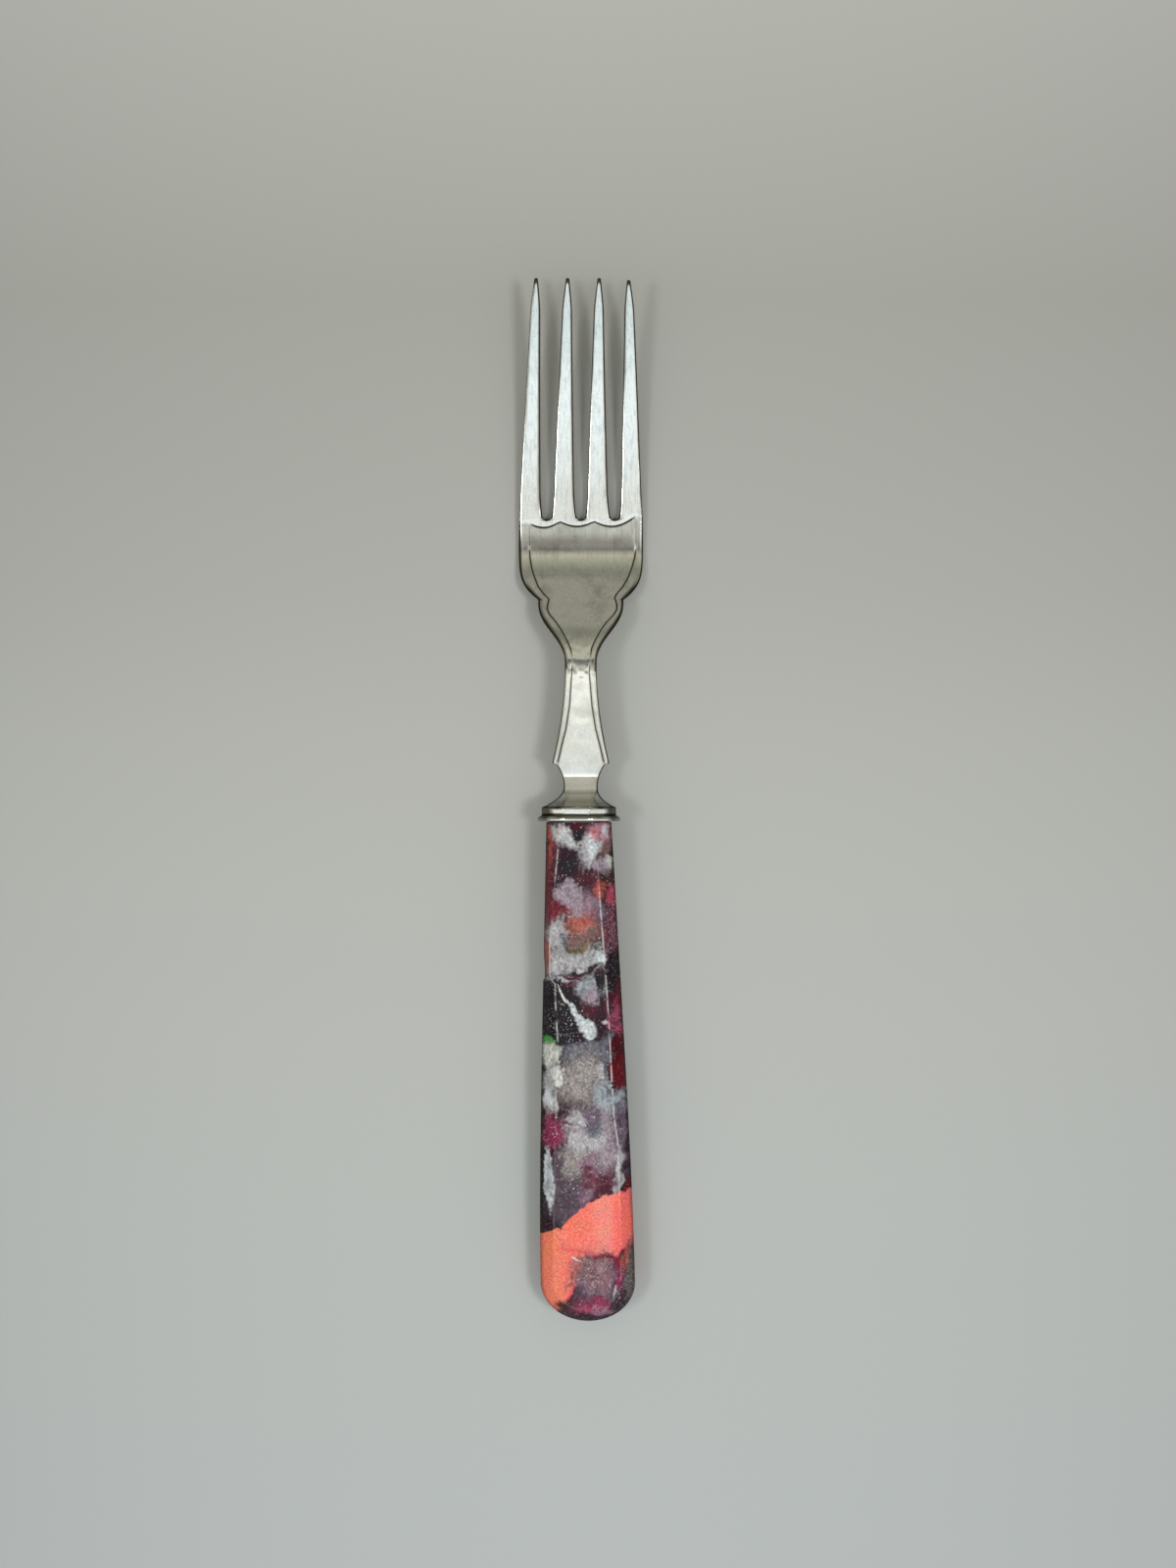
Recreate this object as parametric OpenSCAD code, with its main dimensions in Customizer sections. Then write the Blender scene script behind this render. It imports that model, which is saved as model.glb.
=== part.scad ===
// A four-tined table fork: a forged metal head on a tapered handle cut from marbled recycled plastic.
// It lies face up on z = 0, on the bottom of its bowl and the back of the handle's end.
// +Y points to the tips, X = 0 is the head's middle line and y = 0 is halfway along the fork.

/* [Tines] */
// Number of tines
tine_count = 4; // [3:1:5]
// Length of the slots, from their round ends to the tips
tine_len = 45.4; // [36:0.2:54]
// Spacing of the tines at the ends of the slots
root_pitch = 6.64; // [5.6:0.02:7.4]
// Spacing of the tines at the tips
tip_pitch = 6.04; // [5.2:0.02:7]
// Width of a tine at the end of its slots
root_w = 4.7; // [3.6:0.02:5.2]
// Width of a tine just past the fillets at its root
stem_w = 4.24; // [3.4:0.02:4.6]
// Length of those fillets
fillet_len = 5; // [3:0.5:8]
// Width of a tine where its point begins
shaft_w = 2.02; // [1.7:0.02:2.8]
// Width of a tine just before its round tip
nib_w = 0.66; // [0.6:0.02:1.2]
// Length of the point
nib_len = 6.6; // [4:0.1:10]
// Distance by which the tips lean to one side
tip_lean = 0.52; // [-0.6:0.02:0.6]
// Thickness of the tines at their tips
tip_t = 1.45; // [1.1:0.05:2]
// Height of the tips above the bottom of the bowl
tip_rise = 10.2; // [6:0.1:16]
// Upward slope of the tines where the bowl ends
root_slope = 5.2; // [2:0.1:9]

/* [Palm] */
// Length from the ends of the slots to the widest line of the palm
palm_len = 6; // [5:0.1:10]
// Length of the round shoulders
shoulder_len = 10; // [7:0.1:14]
// Width between the nicks behind the shoulders
nick_w = 16.7; // [13:0.1:19]
// Length of the curve from the nicks to the neck
bulb_len = 13.3; // [10:0.1:18]
// Thickness of the palm
palm_t = 2.1; // [1.6:0.05:2.8]
// Height of the neck's crest above the bowl, from mid-thickness to mid-thickness
crest_rise = 8.55; // [5:0.05:12]
// Distance from the neck towards the tips at which the back reaches its crest
crest_lead = 1.8; // [0.5:0.1:3]

/* [Neck and shank] */
// Narrowest width of the neck
neck_w = 6.14; // [4.6:0.02:7.6]
// Thickness of the neck
neck_t = 3.2; // [2.6:0.05:4]
// Length of the flaring panel, from the neck to its corners
panel_len = 18.4; // [13:0.1:26]
// Width across the corners of the panel
panel_w = 11.1; // [10:0.1:13]
// Width just behind the corners
heel_w = 9.7; // [7.4:0.1:10.2]
// Thickness of the panel
panel_t = 4; // [3.2:0.05:5]
// Drop of the middle of the thickness from the crest to the panel's end
panel_fall = 1.1; // [0.4:0.05:2]
// Length from the panel's corners to the narrowest line of the shank
shank_len = 4.5; // [3.5:0.1:7]
// Narrowest width of the shank
shank_w = 6.6; // [5.6:0.05:8]
// Thickness of the shank
shank_t = 3.7; // [3:0.05:5]

/* [Bolster] */
// Length over which the shank flares into the bolster
flare_len = 4; // [3:0.1:6]
// Length of the bolster's band
band_len = 1.3; // [0.8:0.05:2.5]
// Width of the band
band_w = 14.3; // [12:0.02:17]
// Thickness of the band from face to face
band_t = 10.9; // [9:0.05:13]
// Width of the slanted facets at the band's corners
band_facet = 3; // [2:0.05:4]
// Depth of the groove between the band and the collar
seat_step = 0.4; // [0.2:0.02:0.7]
// Width of that groove
seat_gap = 0.25; // [0.15:0.01:0.5]
// Thickness of the collar plate
collar_t = 1.1; // [0.8:0.05:2]
// Width of the collar plate
collar_w = 16; // [13.5:0.02:18.5]
// Diameter of the round tang
tang_d = 4.5; // [3.5:0.1:5]
// Length of the tang inside the handle
tang_len = 45; // [30:1:60]

/* [Handle] */
// Length of the handle
handle_len = 96.5; // [80:0.5:115]
// Width of the handle at the collar
handle_top_w = 12.5; // [11:0.1:14]
// Width of the handle before its round end
handle_end_w = 18.25; // [16:0.05:21]
// Thickness of the handle
handle_t = 10.5; // [9.5:0.1:13]
// Width of the slanted facets along the handle
handle_bevel = 2.9; // [2:0.05:3.2]
// Depth of the rounded end
end_round = 7.6; // [5:0.1:9]
// Tilt of the handle down towards its end
handle_pitch = 2; // [0.5:0.1:4]
// Sideways lean of the handle
handle_lean = 1.1; // [0:0.05:2]
// Sideways place of the collar and of the handle's upper end
handle_shift = -0.35; // [-0.6:0.05:0.6]
// Diameter of the hole drilled for the tang
socket_d = 5.6; // [5.2:0.1:6.4]
// Spare depth of that hole past the tang
socket_spare = 2; // [0.5:0.5:5]
// Thickness of the bed of adhesive under the collar
bed_t = 0.25; // [0.15:0.01:0.5]
// Distance of the bed's edge inside the handle's edge
bed_inset = 0.4; // [0.2:0.05:1]

/* [Edges and carving] */
// Width of the rounded edges of the head
edge_w = 0.6; // [0.3:0.05:0.8]
// Height of those rounded edges
edge_drop = 0.5; // [0.25:0.05:0.6]
// Width of the engraved thread line
thread_w = 0.4; // [0.3:0.05:0.6]
// Depth of the thread line
thread_depth = 0.16; // [0.08:0.02:0.3]
// Distance of the thread line from the palm's edge
thread_palm = 2.2; // [1.6:0.05:2.6]
// Distance of the thread line from the neck's edge
thread_neck = 1.35; // [1:0.05:1.5]
// Distance of the thread line from the panel's corners
thread_panel = 1; // [0.8:0.05:1.4]
// Sag of the struck scallops below the slots
scallop_sag = 1.25; // [0.8:0.05:1.6]
// Width of a scallop's groove
scallop_w = 0.7; // [0.4:0.05:0.9]
// Depth of a scallop's groove
scallop_depth = 0.22; // [0.1:0.02:0.35]

/* [Hidden] */
$fn = 48;

// Places along the fork, from the end of the handle to the tips
fork_len = handle_len + bed_t + collar_t + seat_gap + band_len + flare_len + shank_len
    + panel_len + bulb_len + shoulder_len + palm_len + tine_len;
butt_y = -fork_len / 2;
handle_y = butt_y + handle_len;
bed_y = handle_y + bed_t;
collar_y = bed_y + collar_t;
band_y = collar_y + seat_gap;
flare_y = band_y + band_len;
shank_y = flare_y + flare_len;
corner_y = shank_y + shank_len;
neck_y = corner_y + panel_len;
crest_y = neck_y + crest_lead;
nick_y = neck_y + bulb_len;
palm_y = nick_y + shoulder_len;
crotch_y = palm_y + palm_len;
tip_y = crotch_y + tine_len;
slot_r = (root_pitch - root_w) / 2;
point_y = tip_y - nib_len;
tip_r = 0.66 * nib_w;
heel_y = corner_y - 0.09 * shank_len;
step_y = corner_y - 0.5 * shank_len;
// The panel's end bevel takes a fifth of the shank's length
heel_run_y = step_y - 0.2 * shank_len;

// Heights: the bowl's back touches z = 0, and so does the end of the handle's flat back
bowl_z = palm_t / 2;
crest_z = bowl_z + crest_rise;
panel_z = crest_z - panel_fall;
seat_z = handle_t / 2 + (handle_len - handle_bevel) * tan(handle_pitch);

// Shapes of the curves, as exponents
shoulder_power = 3.5;
panel_power = 1.8;
heel_power = 2;
flare_power = 2.3;
point_power = 1.4;
lean_power = 1.5;
bevel_power = 1.5;
// How quickly the slope of the back grows and fades between bowl and crest, as a share of the way
swing_share = 0.3;
// Radius of the bend at the bottom of the bowl, as a share of the tines' length
bend_share = 0.022;

function clamp(t) = max(0, min(1, t));
function mix(a, b, t) = a + (b - a) * t;
function soft(t) = let(u = clamp(t)) u * u * (3 - 2 * u);
function softer(t) = let(u = clamp(t)) u * u * u * (u * (6 * u - 15) + 10);
// An even climb that starts and ends in arcs, each over the share a of the way
function swing(t, a) = let(u = clamp(t))
    u < a ? u * u / (2 * a * (1 - a)) :
    u > 1 - a ? 1 - (1 - u) * (1 - u) / (2 * a * (1 - a)) : (u - a / 2) / (1 - a);

// Plan of the head: spacing, lean and width of the tines, the slots, and half the width of the outline.
// A tine's outer side has no fillet, so the outline follows the width without it.
function pitch(y) = mix(root_pitch, tip_pitch, (y - crotch_y) / tine_len);
function lean(y) = tip_lean * pow(clamp((y - crotch_y) / tine_len), lean_power);
function plain_w(y) =
    y > point_y ? mix(shaft_w, nib_w, pow(clamp((y - point_y) / (nib_len - tip_r)), point_power)) :
    mix(stem_w, shaft_w, clamp((y - crotch_y) / (tine_len - nib_len)));
function tine_w(y) = plain_w(y) + (root_w - stem_w) * pow(1 - clamp((y - crotch_y - slot_r) / fillet_len), 2);
function tip_close(y) = sqrt(1 - pow(clamp((y - tip_y + tip_r) / tip_r), 2));
function slot_x(j, y) = (j + 1 - tine_count / 2) * pitch(y) + lean(y);
function slot_half(y) =
    y <= crotch_y ? 0 :
    y < crotch_y + slot_r ? sqrt(slot_r * slot_r - pow(crotch_y + slot_r - y, 2)) : (pitch(y) - tine_w(y)) / 2;
palm_half = pitch(palm_y) * (tine_count - 1) / 2 + stem_w / 2;
function half_w(y) =
    y >= palm_y ? pitch(y) * (tine_count - 1) / 2 + plain_w(y) / 2 :
    y >= nick_y ? mix(palm_half, nick_w / 2, pow((palm_y - y) / shoulder_len, shoulder_power)) :
    y >= neck_y ? mix(nick_w, neck_w, softer((nick_y - y) / bulb_len)) / 2 :
    y >= corner_y ? mix(neck_w, panel_w, pow((neck_y - y) / panel_len, panel_power)) / 2 :
    y >= shank_y ? mix(shank_w, heel_w, pow((y - shank_y) / shank_len, heel_power)) / 2 :
    y >= flare_y ? mix(shank_w, band_w, pow((shank_y - y) / flare_len, flare_power)) / 2 : band_w / 2;

// Side view of the head: middle of the thickness, and half the thickness
bend_r = bend_share * tine_len;
function bowl_lift(d) = tan(root_slope) * (sqrt(d * d + bend_r * bend_r) - bend_r);
tine_curve = (tip_rise - bowl_lift(tip_y - palm_y)) / pow(tip_y - palm_y, 2);
function mid_z(y) =
    y >= palm_y ? bowl_z + bowl_lift(y - palm_y) + tine_curve * pow(y - palm_y, 2) :
    y >= crest_y ? mix(bowl_z, crest_z, swing((palm_y - y) / (palm_y - crest_y), swing_share)) :
    y >= step_y ? mix(crest_z, panel_z, pow((crest_y - y) / (crest_y - step_y), panel_power)) :
    mix(panel_z, seat_z, soft((step_y - y) / (step_y - band_y)));
function half_t(y) =
    y >= palm_y ? mix(palm_t, tip_t, (y - palm_y) / (tip_y - palm_y)) / 2 :
    y >= neck_y ? mix(palm_t, neck_t, soft((palm_y - y) / (palm_y - neck_y))) / 2 :
    y >= step_y ? mix(neck_t, panel_t, soft((neck_y - y) / (neck_y - corner_y))) / 2 :
    y >= shank_y ? mix(panel_t, shank_t, soft((step_y - y) / (step_y - heel_run_y))) / 2 :
    mix(shank_t, band_t, pow(clamp((shank_y - y) / flare_len), flare_power)) / 2;
// Slanted surfaces are measured square to themselves, so upright sizes grow with the slope
function slope(y) = (mid_z(y + edge_w / 4) - mid_z(y - edge_w / 4)) / (edge_w / 2);
function upright(y) = y < neck_y ? half_t(y) : half_t(y) * sqrt(1 + pow(slope(y), 2));
// The same for distances from a slanted outline
function outline_slope(y) = (half_w(y + edge_w / 8) - half_w(y - edge_w / 8)) / (edge_w / 4);
function slant(y) = y > palm_y || y < corner_y ? 1 : sqrt(1 + pow(clamp(abs(outline_slope(y))), 2));

// Edges: width and height of the bevel, which widens into the bolster's facets
function flare_share(y) = soft((shank_y - y) / flare_len);
// The head's middle line swings over to the handle's
function swerve(y) = handle_shift * flare_share(y);
function bevel_w(y) = mix(edge_w, band_facet, flare_share(y)) * slant(y);
function bevel_h(y) = mix(edge_drop, band_facet * 0.87, flare_share(y));
bevel_shares = [0, 0.35, 1];
function bevel_fall(k, h) = h * pow(1 - bevel_shares[k], bevel_power);

// Distance of the thread line from the outline
function thread_in(y) = max(bevel_w(y) + thread_w / 4, slant(y) * (
    y >= nick_y ? thread_palm :
    y >= neck_y ? mix(thread_palm, thread_neck, (nick_y - y) / bulb_len) :
    mix(thread_neck, thread_panel, clamp((neck_y - y) / panel_len))));
function thread_cut(y) = y > corner_y && y < crotch_y - scallop_sag ? thread_depth : 0;

// Columns across one tine's strip, from its left edge to its right, as distances from its left edge.
// An outer strip carries the three lines of the thread groove beside its outer edge.
inner_shares = [0.3, 0.5, 0.7];
root_edge = min(edge_w, 0.42 * root_w);
strip_w = root_pitch / 2 + stem_w / 2;
function inner_count(i) = i == 0 || i == tine_count - 1 ? 4 : 3;
thread_shares = [for (k = [0:2]) (thread_palm + k * thread_w / 2 - root_edge) / (strip_w - 2 * root_edge)];
outer_shares = concat(thread_shares, [mix(thread_shares[2], 1, 0.5)]);
function strip_shares(i) =
    i == 0 ? outer_shares :
    i == tine_count - 1 ? [for (k = [3:-1:0]) 1 - outer_shares[k]] : inner_shares;
function strip_left(i, y) = i == 0 ? lean(y) - half_w(y) : slot_x(i - 1, y) + slot_half(y);
function strip_right(i, y) = i == tine_count - 1 ? lean(y) + half_w(y) : slot_x(i, y) - slot_half(y);
function strip_columns(i, y) = let(
    c = tip_close(y), l = strip_left(i, y), r = strip_right(i, y), m = (l + r) / 2,
    w = (r - l) * c, e = min(edge_w, 0.42 * w))
    [for (k = [0:2]) m - w / 2 + bevel_shares[k] * e,
     for (s = strip_shares(i)) m - w / 2 + e + s * (w - 2 * e),
     for (k = [2:-1:0]) m + w / 2 - bevel_shares[k] * e];

// Rows of the free tines, from the tip down to the slots' ends
tip_row_shares = [0.97, 0.87, 0.68, 0.4, 0];
slot_row_shares = [0.62, 0.3, 0.08];
tine_runs = 12;
tine_rows = concat(
    [for (s = tip_row_shares) tip_y - tip_r + s * tip_r],
    [for (k = [0:tine_runs]) mix(tip_y - tip_r, crotch_y + slot_r, k / tine_runs)],
    [for (s = slot_row_shares) crotch_y + s * slot_r]);
free_rows = [for (k = [0:len(tine_rows) - 1]) if (k == 0 || tine_rows[k] != tine_rows[k - 1]) tine_rows[k]];
function strip_z(i, y, k, count) = let(
    c = tip_close(y), w = (strip_right(i, y) - strip_left(i, y)) * c,
    e = min(edge_w, 0.42 * w), h = upright(y) * mix(0.3, 1, c), drop = min(edge_drop * e / edge_w, 0.62 * h))
    h - bevel_fall(min(k, count - 1 - k, 2), drop);
function strip_row(i, y, side) = let(x = strip_columns(i, y))
    [for (k = [0:len(x) - 1]) [x[k], y, mid_z(y) + side * strip_z(i, y, k, len(x))]];

// Columns across the whole palm: the strips side by side, with shared lines between them
function strip_size(i) = 6 + inner_count(i);
function strip_start(i) = i == 0 ? 0 : strip_start(i - 1) + strip_size(i - 1) - 1;
palm_columns = strip_start(tine_count - 1) + strip_size(tine_count - 1);
function palm_xs(y) =
    [for (i = [0:tine_count - 1]) let(x = strip_columns(i, y)) for (k = [0:len(x) - 1]) if (i == 0 || k > 0) x[k]];
// Height of the arch of a scallop over x: 0 at the tines' middles and 1 under a slot
function arch(x) = abs(x) >= root_pitch * (tine_count - 1) / 2 ? 0 :
    let(p = x / root_pitch + (tine_count - 1) / 2, u = p - floor(p)) 4 * u * (1 - u);
cusp_y = crotch_y - 0.2 * slot_r - scallop_w / 2;
// Each row sinks towards the palm by its own sag; the rows are the slot's edge, the groove and the flat
sag_rows = [
    [crotch_y, 0],
    [crotch_y - 0.08 * slot_r, 0.25 * edge_w],
    [crotch_y - 0.16 * slot_r, edge_w],
    [cusp_y + 0.35 * scallop_w, scallop_sag - 0.5 * scallop_w],
    [cusp_y, scallop_sag],
    [cusp_y - 0.35 * scallop_w, scallop_sag + 0.3 * scallop_w],
    [cusp_y - 1.4 * scallop_w, 0.8 * scallop_sag],
    [crotch_y - 0.5 * palm_len, 0]];
groove_row = 4;
function slot_gap(x, y) = min([for (j = [0:tine_count - 2])
    norm([x - slot_x(j, y), crotch_y + slot_r - y]) - slot_r]);
function palm_row(r, side) = let(y0 = sag_rows[r][0], x = palm_xs(y0), n = len(x))
    [for (k = [0:n - 1]) let(
        y = y0 - sag_rows[r][1] * arch(x[k]),
        rim = bevel_fall(min(k, n - 1 - k, 2), edge_drop),
        slot = edge_drop * pow(clamp(1 - slot_gap(x[k], y) / edge_w), bevel_power),
        groove = side > 0 && r == groove_row ? scallop_depth * sqrt(arch(x[k])) : 0)
        [x[k], y, mid_z(y) + side * (upright(y) - max(rim, slot) - groove)]];

// Columns from the palm to the band: edges, thread lines and a few lines between
function kept_top() = concat([0, 1, 2, 3, 4, 5],
    [for (i = [1:tine_count - 1]) for (k = i < tine_count - 1 ? [0, 4] : [0]) strip_start(i) + k],
    [for (k = [6:-1:1]) palm_columns - k]);
function kept_back() = concat([0, 1, 2],
    [for (i = [1:tine_count - 1]) for (k = i < tine_count - 1 ? [0, 4] : [0]) strip_start(i) + k],
    [for (k = [3:-1:1]) palm_columns - k]);
between_count = 2 * tine_count - 3;
function between(k) = mix(-1, 1, (k + 1) / (between_count + 1));
function edge_offsets(y, side) = concat([for (s = bevel_shares) s * bevel_w(y)],
    side > 0 ? [for (k = [0:2]) thread_in(y) + k * thread_w / 2] : []);
function shank_row(row, side) = let(
    y = row[0], w = row[1], o = edge_offsets(y, side), n = len(o), flat = w - max(o),
    falls = concat([for (k = [0:2]) bevel_fall(k, bevel_h(y))], side > 0 ? [0, thread_cut(y), 0] : []),
    x = concat([for (k = [0:n - 1]) o[k] - w], [for (k = [0:between_count - 1]) between(k) * flat],
        [for (k = [n - 1:-1:0]) w - o[k]]))
    [for (k = [0:len(x) - 1]) let(j = min(k, len(x) - 1 - k))
        [x[k] + swerve(y), y, mid_z(y) + side * (row[2] - (j < n ? falls[j] : 0))]];

// Rows from the palm to the band, each with its half width and upright half thickness
palm_rows = 2;
shoulder_rows = 9;
bulb_rows = 12;
panel_rows = 9;
heel_rows = 5;
flare_rows = 7;
row_places = concat(
    [for (k = [1:palm_rows]) mix(crotch_y - 0.5 * palm_len, palm_y, k / palm_rows)],
    [for (k = [1:shoulder_rows]) mix(nick_y, palm_y, pow(1 - k / shoulder_rows, 1.6))],
    [for (k = [1:bulb_rows]) mix(nick_y, neck_y, k / bulb_rows)],
    [for (k = [1:panel_rows]) mix(neck_y, corner_y, k / panel_rows)],
    [heel_y, mix(heel_y, step_y, 0.5), step_y, heel_run_y, mix(heel_run_y, shank_y, 0.6)],
    [for (k = [0:flare_rows]) mix(shank_y, flare_y, sqrt(k / flare_rows))]);
// The band swells a little at its middle, then steps in to its seat on the collar
band_swell = 0.15 * seat_step;
band_rows = [
    [mix(flare_y, band_y, 0.25), band_w / 2 + band_swell, band_t / 2 + band_swell],
    [mix(flare_y, band_y, 0.75), band_w / 2 + band_swell, band_t / 2 + band_swell],
    [band_y, band_w / 2, band_t / 2],
    [band_y, band_w / 2 - seat_step, band_t / 2 - seat_step],
    [collar_y, band_w / 2 - seat_step, band_t / 2 - seat_step]];
shank_rows = concat([for (y = row_places) [y, half_w(y), upright(y)]], band_rows);

// Joins two rows of points by panels; picks gives the columns of the first row that the second keeps.
// A panel starts at the second row, so that a fan from its first point has no flat triangle.
function panels(a, b, picks, up) = [for (k = [0:len(picks) - 2]) let(m = picks[k], n = picks[k + 1])
    up ? concat([b + k + 1, b + k], [for (c = [m:n]) a + c]) : concat([b + k, b + k + 1], [for (c = [n:-1:m]) a + c])];
function count_to(n) = [for (k = [0:n - 1]) k];

module forging() {
    // Every row is stored as its top points and then its back points
    free_n = len(free_rows);
    free_points = [for (i = [0:tine_count - 1]) for (y = free_rows) for (side = [1, -1])
        for (p = strip_row(i, y, side)) p];
    palm_points = [for (r = [0:len(sag_rows) - 1]) for (side = [1, -1]) for (p = palm_row(r, side)) p];
    shank_points = [for (row = shank_rows) for (side = [1, -1]) for (p = shank_row(row, side)) p];
    palm_0 = len(free_points);
    shank_0 = palm_0 + len(palm_points);
    top_n = 12 + between_count;
    back_n = 6 + between_count;
    last = len(shank_rows) - 1;
    function free_at(i, r, back) = 2 * free_n * (strip_start(i) + i) + r * 2 * strip_size(i) + back * strip_size(i);
    function palm_at(r, back) = palm_0 + r * 2 * palm_columns + back * palm_columns;
    function shank_at(r, back) = shank_0 + r * (top_n + back_n) + back * top_n;
    free_faces = [for (i = [0:tine_count - 1]) let(n = strip_size(i)) each concat(
        [concat([for (k = [n - 1:-1:0]) free_at(i, 0, 0) + k], [for (k = [0:n - 1]) free_at(i, 0, 1) + k])],
        [for (r = [0:free_n - 1]) let(
            last_row = r == free_n - 1,
            t = last_row ? palm_at(0, 0) + strip_start(i) : free_at(i, r + 1, 0),
            b = last_row ? palm_at(0, 1) + strip_start(i) : free_at(i, r + 1, 1),
            ta = free_at(i, r, 0), ba = free_at(i, r, 1))
            each concat(panels(ta, t, count_to(n), true), panels(ba, b, count_to(n), false),
                [[ta, t, b, ba], [ta + n - 1, ba + n - 1, b + n - 1, t + n - 1]])])];
    palm_faces = [for (r = [0:len(sag_rows) - 2]) let(
        ta = palm_at(r, 0), ba = palm_at(r, 1), t = palm_at(r + 1, 0), b = palm_at(r + 1, 1), n = palm_columns)
        each concat(panels(ta, t, count_to(n), true), panels(ba, b, count_to(n), false),
            [[ta, t, b, ba], [ta + n - 1, ba + n - 1, b + n - 1, t + n - 1]])];
    shank_faces = [for (r = [-1:last - 1]) let(
        first = r < 0,
        ta = first ? palm_at(len(sag_rows) - 1, 0) : shank_at(r, 0),
        ba = first ? palm_at(len(sag_rows) - 1, 1) : shank_at(r, 1),
        tn = first ? palm_columns : top_n, bn = first ? palm_columns : back_n,
        t = shank_at(r + 1, 0), b = shank_at(r + 1, 1))
        each concat(panels(ta, t, first ? kept_top() : count_to(top_n), true),
            panels(ba, b, first ? kept_back() : count_to(back_n), false),
            [[ta, t, b, ba], [ta + tn - 1, ba + bn - 1, b + back_n - 1, t + top_n - 1]])];
    end_face = [concat([for (k = [0:top_n - 1]) shank_at(last, 0) + k],
        [for (k = [back_n - 1:-1:0]) shank_at(last, 1) + k])];
    polyhedron(concat(free_points, palm_points, shank_points),
        concat(free_faces, palm_faces, shank_faces, end_face), convexity = 8);
}

// Anything given along +Z here is laid along the handle's axis, from the middle of the seat downwards
module along_handle() {
    translate([handle_shift, handle_y, seat_z]) rotate([0, 0, handle_lean]) rotate([90 + handle_pitch, 0, 0]) children();
}

module head() {
    color("gainsboro") union() {
        forging();
        along_handle() translate([0, 0, -bed_t - collar_t - seat_gap - band_len])
            cylinder(h = bed_t + collar_t + seat_gap + band_len + tang_len, d = tang_d);
    }
}

// One ring of an eight-sided plate in the XZ plane, clockwise seen from the tips
function octagon(w, t, bevel) = [
    [-w / 2 + bevel, t / 2], [w / 2 - bevel, t / 2], [w / 2, t / 2 - 0.87 * bevel], [w / 2, -t / 2 + 0.87 * bevel],
    [w / 2 - bevel, -t / 2], [-w / 2 + bevel, -t / 2], [-w / 2, -t / 2 + 0.87 * bevel], [-w / 2, t / 2 - 0.87 * bevel]];

module collar() {
    // Places through the plate and its width there, as shares of its thickness and width
    ring_shares = [[0, 0.91], [0.45, 1], [0.62, 1], [1, 0.86]];
    side = collar_w * band_t / band_w;
    points = [for (s = ring_shares) for (p = octagon(collar_w * s[1], side * s[1], band_facet * s[1]))
        [handle_shift + p[0], collar_y - s[0] * collar_t, seat_z + p[1]]];
    faces = concat([[for (k = [7:-1:0]) k]], [[for (k = [0:7]) 24 + k]],
        [for (r = [0:2]) for (k = [0:7]) [r * 8 + k, r * 8 + (k + 1) % 8, r * 8 + 8 + (k + 1) % 8, r * 8 + 8 + k]]);
    color("gainsboro") difference() {
        polyhedron(points, faces, convexity = 4);
        along_handle() translate([0, 0, -2 * collar_t]) cylinder(h = 4 * collar_t, d = tang_d);
    }
}

// Plan of the handle: nearly straight sides that widen to a round end
side_len = handle_len - end_round;
function handle_w(t) = mix(handle_top_w, handle_end_w, t * (1.24 - 0.24 * pow(t, 4)));
function handle_x(y) = handle_shift + (handle_y - y) * tan(handle_lean);
side_steps = 10;
end_steps = 18;
function side_point(s, t) = let(y = handle_y - t * side_len) [handle_x(y) + s * handle_w(t) / 2, y];
function end_point(a) = let(y = butt_y + end_round * (1 - sin(a)))
    [handle_x(y) - cos(a) * handle_end_w / 2, y];
handle_plan = concat(
    [for (k = [0:side_steps]) side_point(-1, k / side_steps)],
    [for (k = [1:end_steps - 1]) end_point(180 * k / end_steps)],
    [for (k = [side_steps:-1:0]) side_point(1, k / side_steps)]);
plan_n = len(handle_plan);
// The plan drawn in by d, square to its sides, with its open end kept on the collar's plane
function drawn_in(d) = [for (k = [0:plan_n - 1]) let(
    a = handle_plan[max(k - 1, 0)], b = handle_plan[min(k + 1, plan_n - 1)],
    u = (b - a) / norm(b - a), p = handle_plan[k] + d * [-u[1], u[0]])
    [p[0], k == 0 || k == plan_n - 1 ? handle_y : p[1]]];
// Rings from back to face: how far each is drawn in, and its height from the middle of the thickness
bevel_in_shares = [1, 0.5, 0.08, 0];
bevel_down_shares = [0, 0.42, 0.9, 1.12];
handle_rings = concat(
    [for (k = [0:3]) [bevel_in_shares[k] * handle_bevel, -handle_t / 2 + bevel_down_shares[k] * handle_bevel]],
    [for (k = [3:-1:0]) [bevel_in_shares[k] * handle_bevel, handle_t / 2 - bevel_down_shares[k] * handle_bevel]]);

module handle() {
    rings = len(handle_rings);
    points = [for (r = handle_rings) for (p = drawn_in(r[0]))
        [p[0], p[1], seat_z + r[1] - (handle_y - p[1]) * tan(handle_pitch)]];
    faces = concat(
        [for (r = [0:rings - 2]) for (k = [0:plan_n - 2]) let(a = r * plan_n + k)
            [a, a + plan_n, a + plan_n + 1, a + 1]],
        [[for (k = [0:plan_n - 1]) k]],
        [[for (k = [plan_n - 1:-1:0]) (rings - 1) * plan_n + k]],
        [concat([for (r = [rings - 1:-1:0]) r * plan_n], [for (r = [0:rings - 1]) r * plan_n + plan_n - 1])]);
    color("coral") difference() {
        polyhedron(points, faces, convexity = 4);
        along_handle() translate([0, 0, -bed_t]) cylinder(h = bed_t + tang_len + socket_spare, d = socket_d);
    }
}

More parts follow.
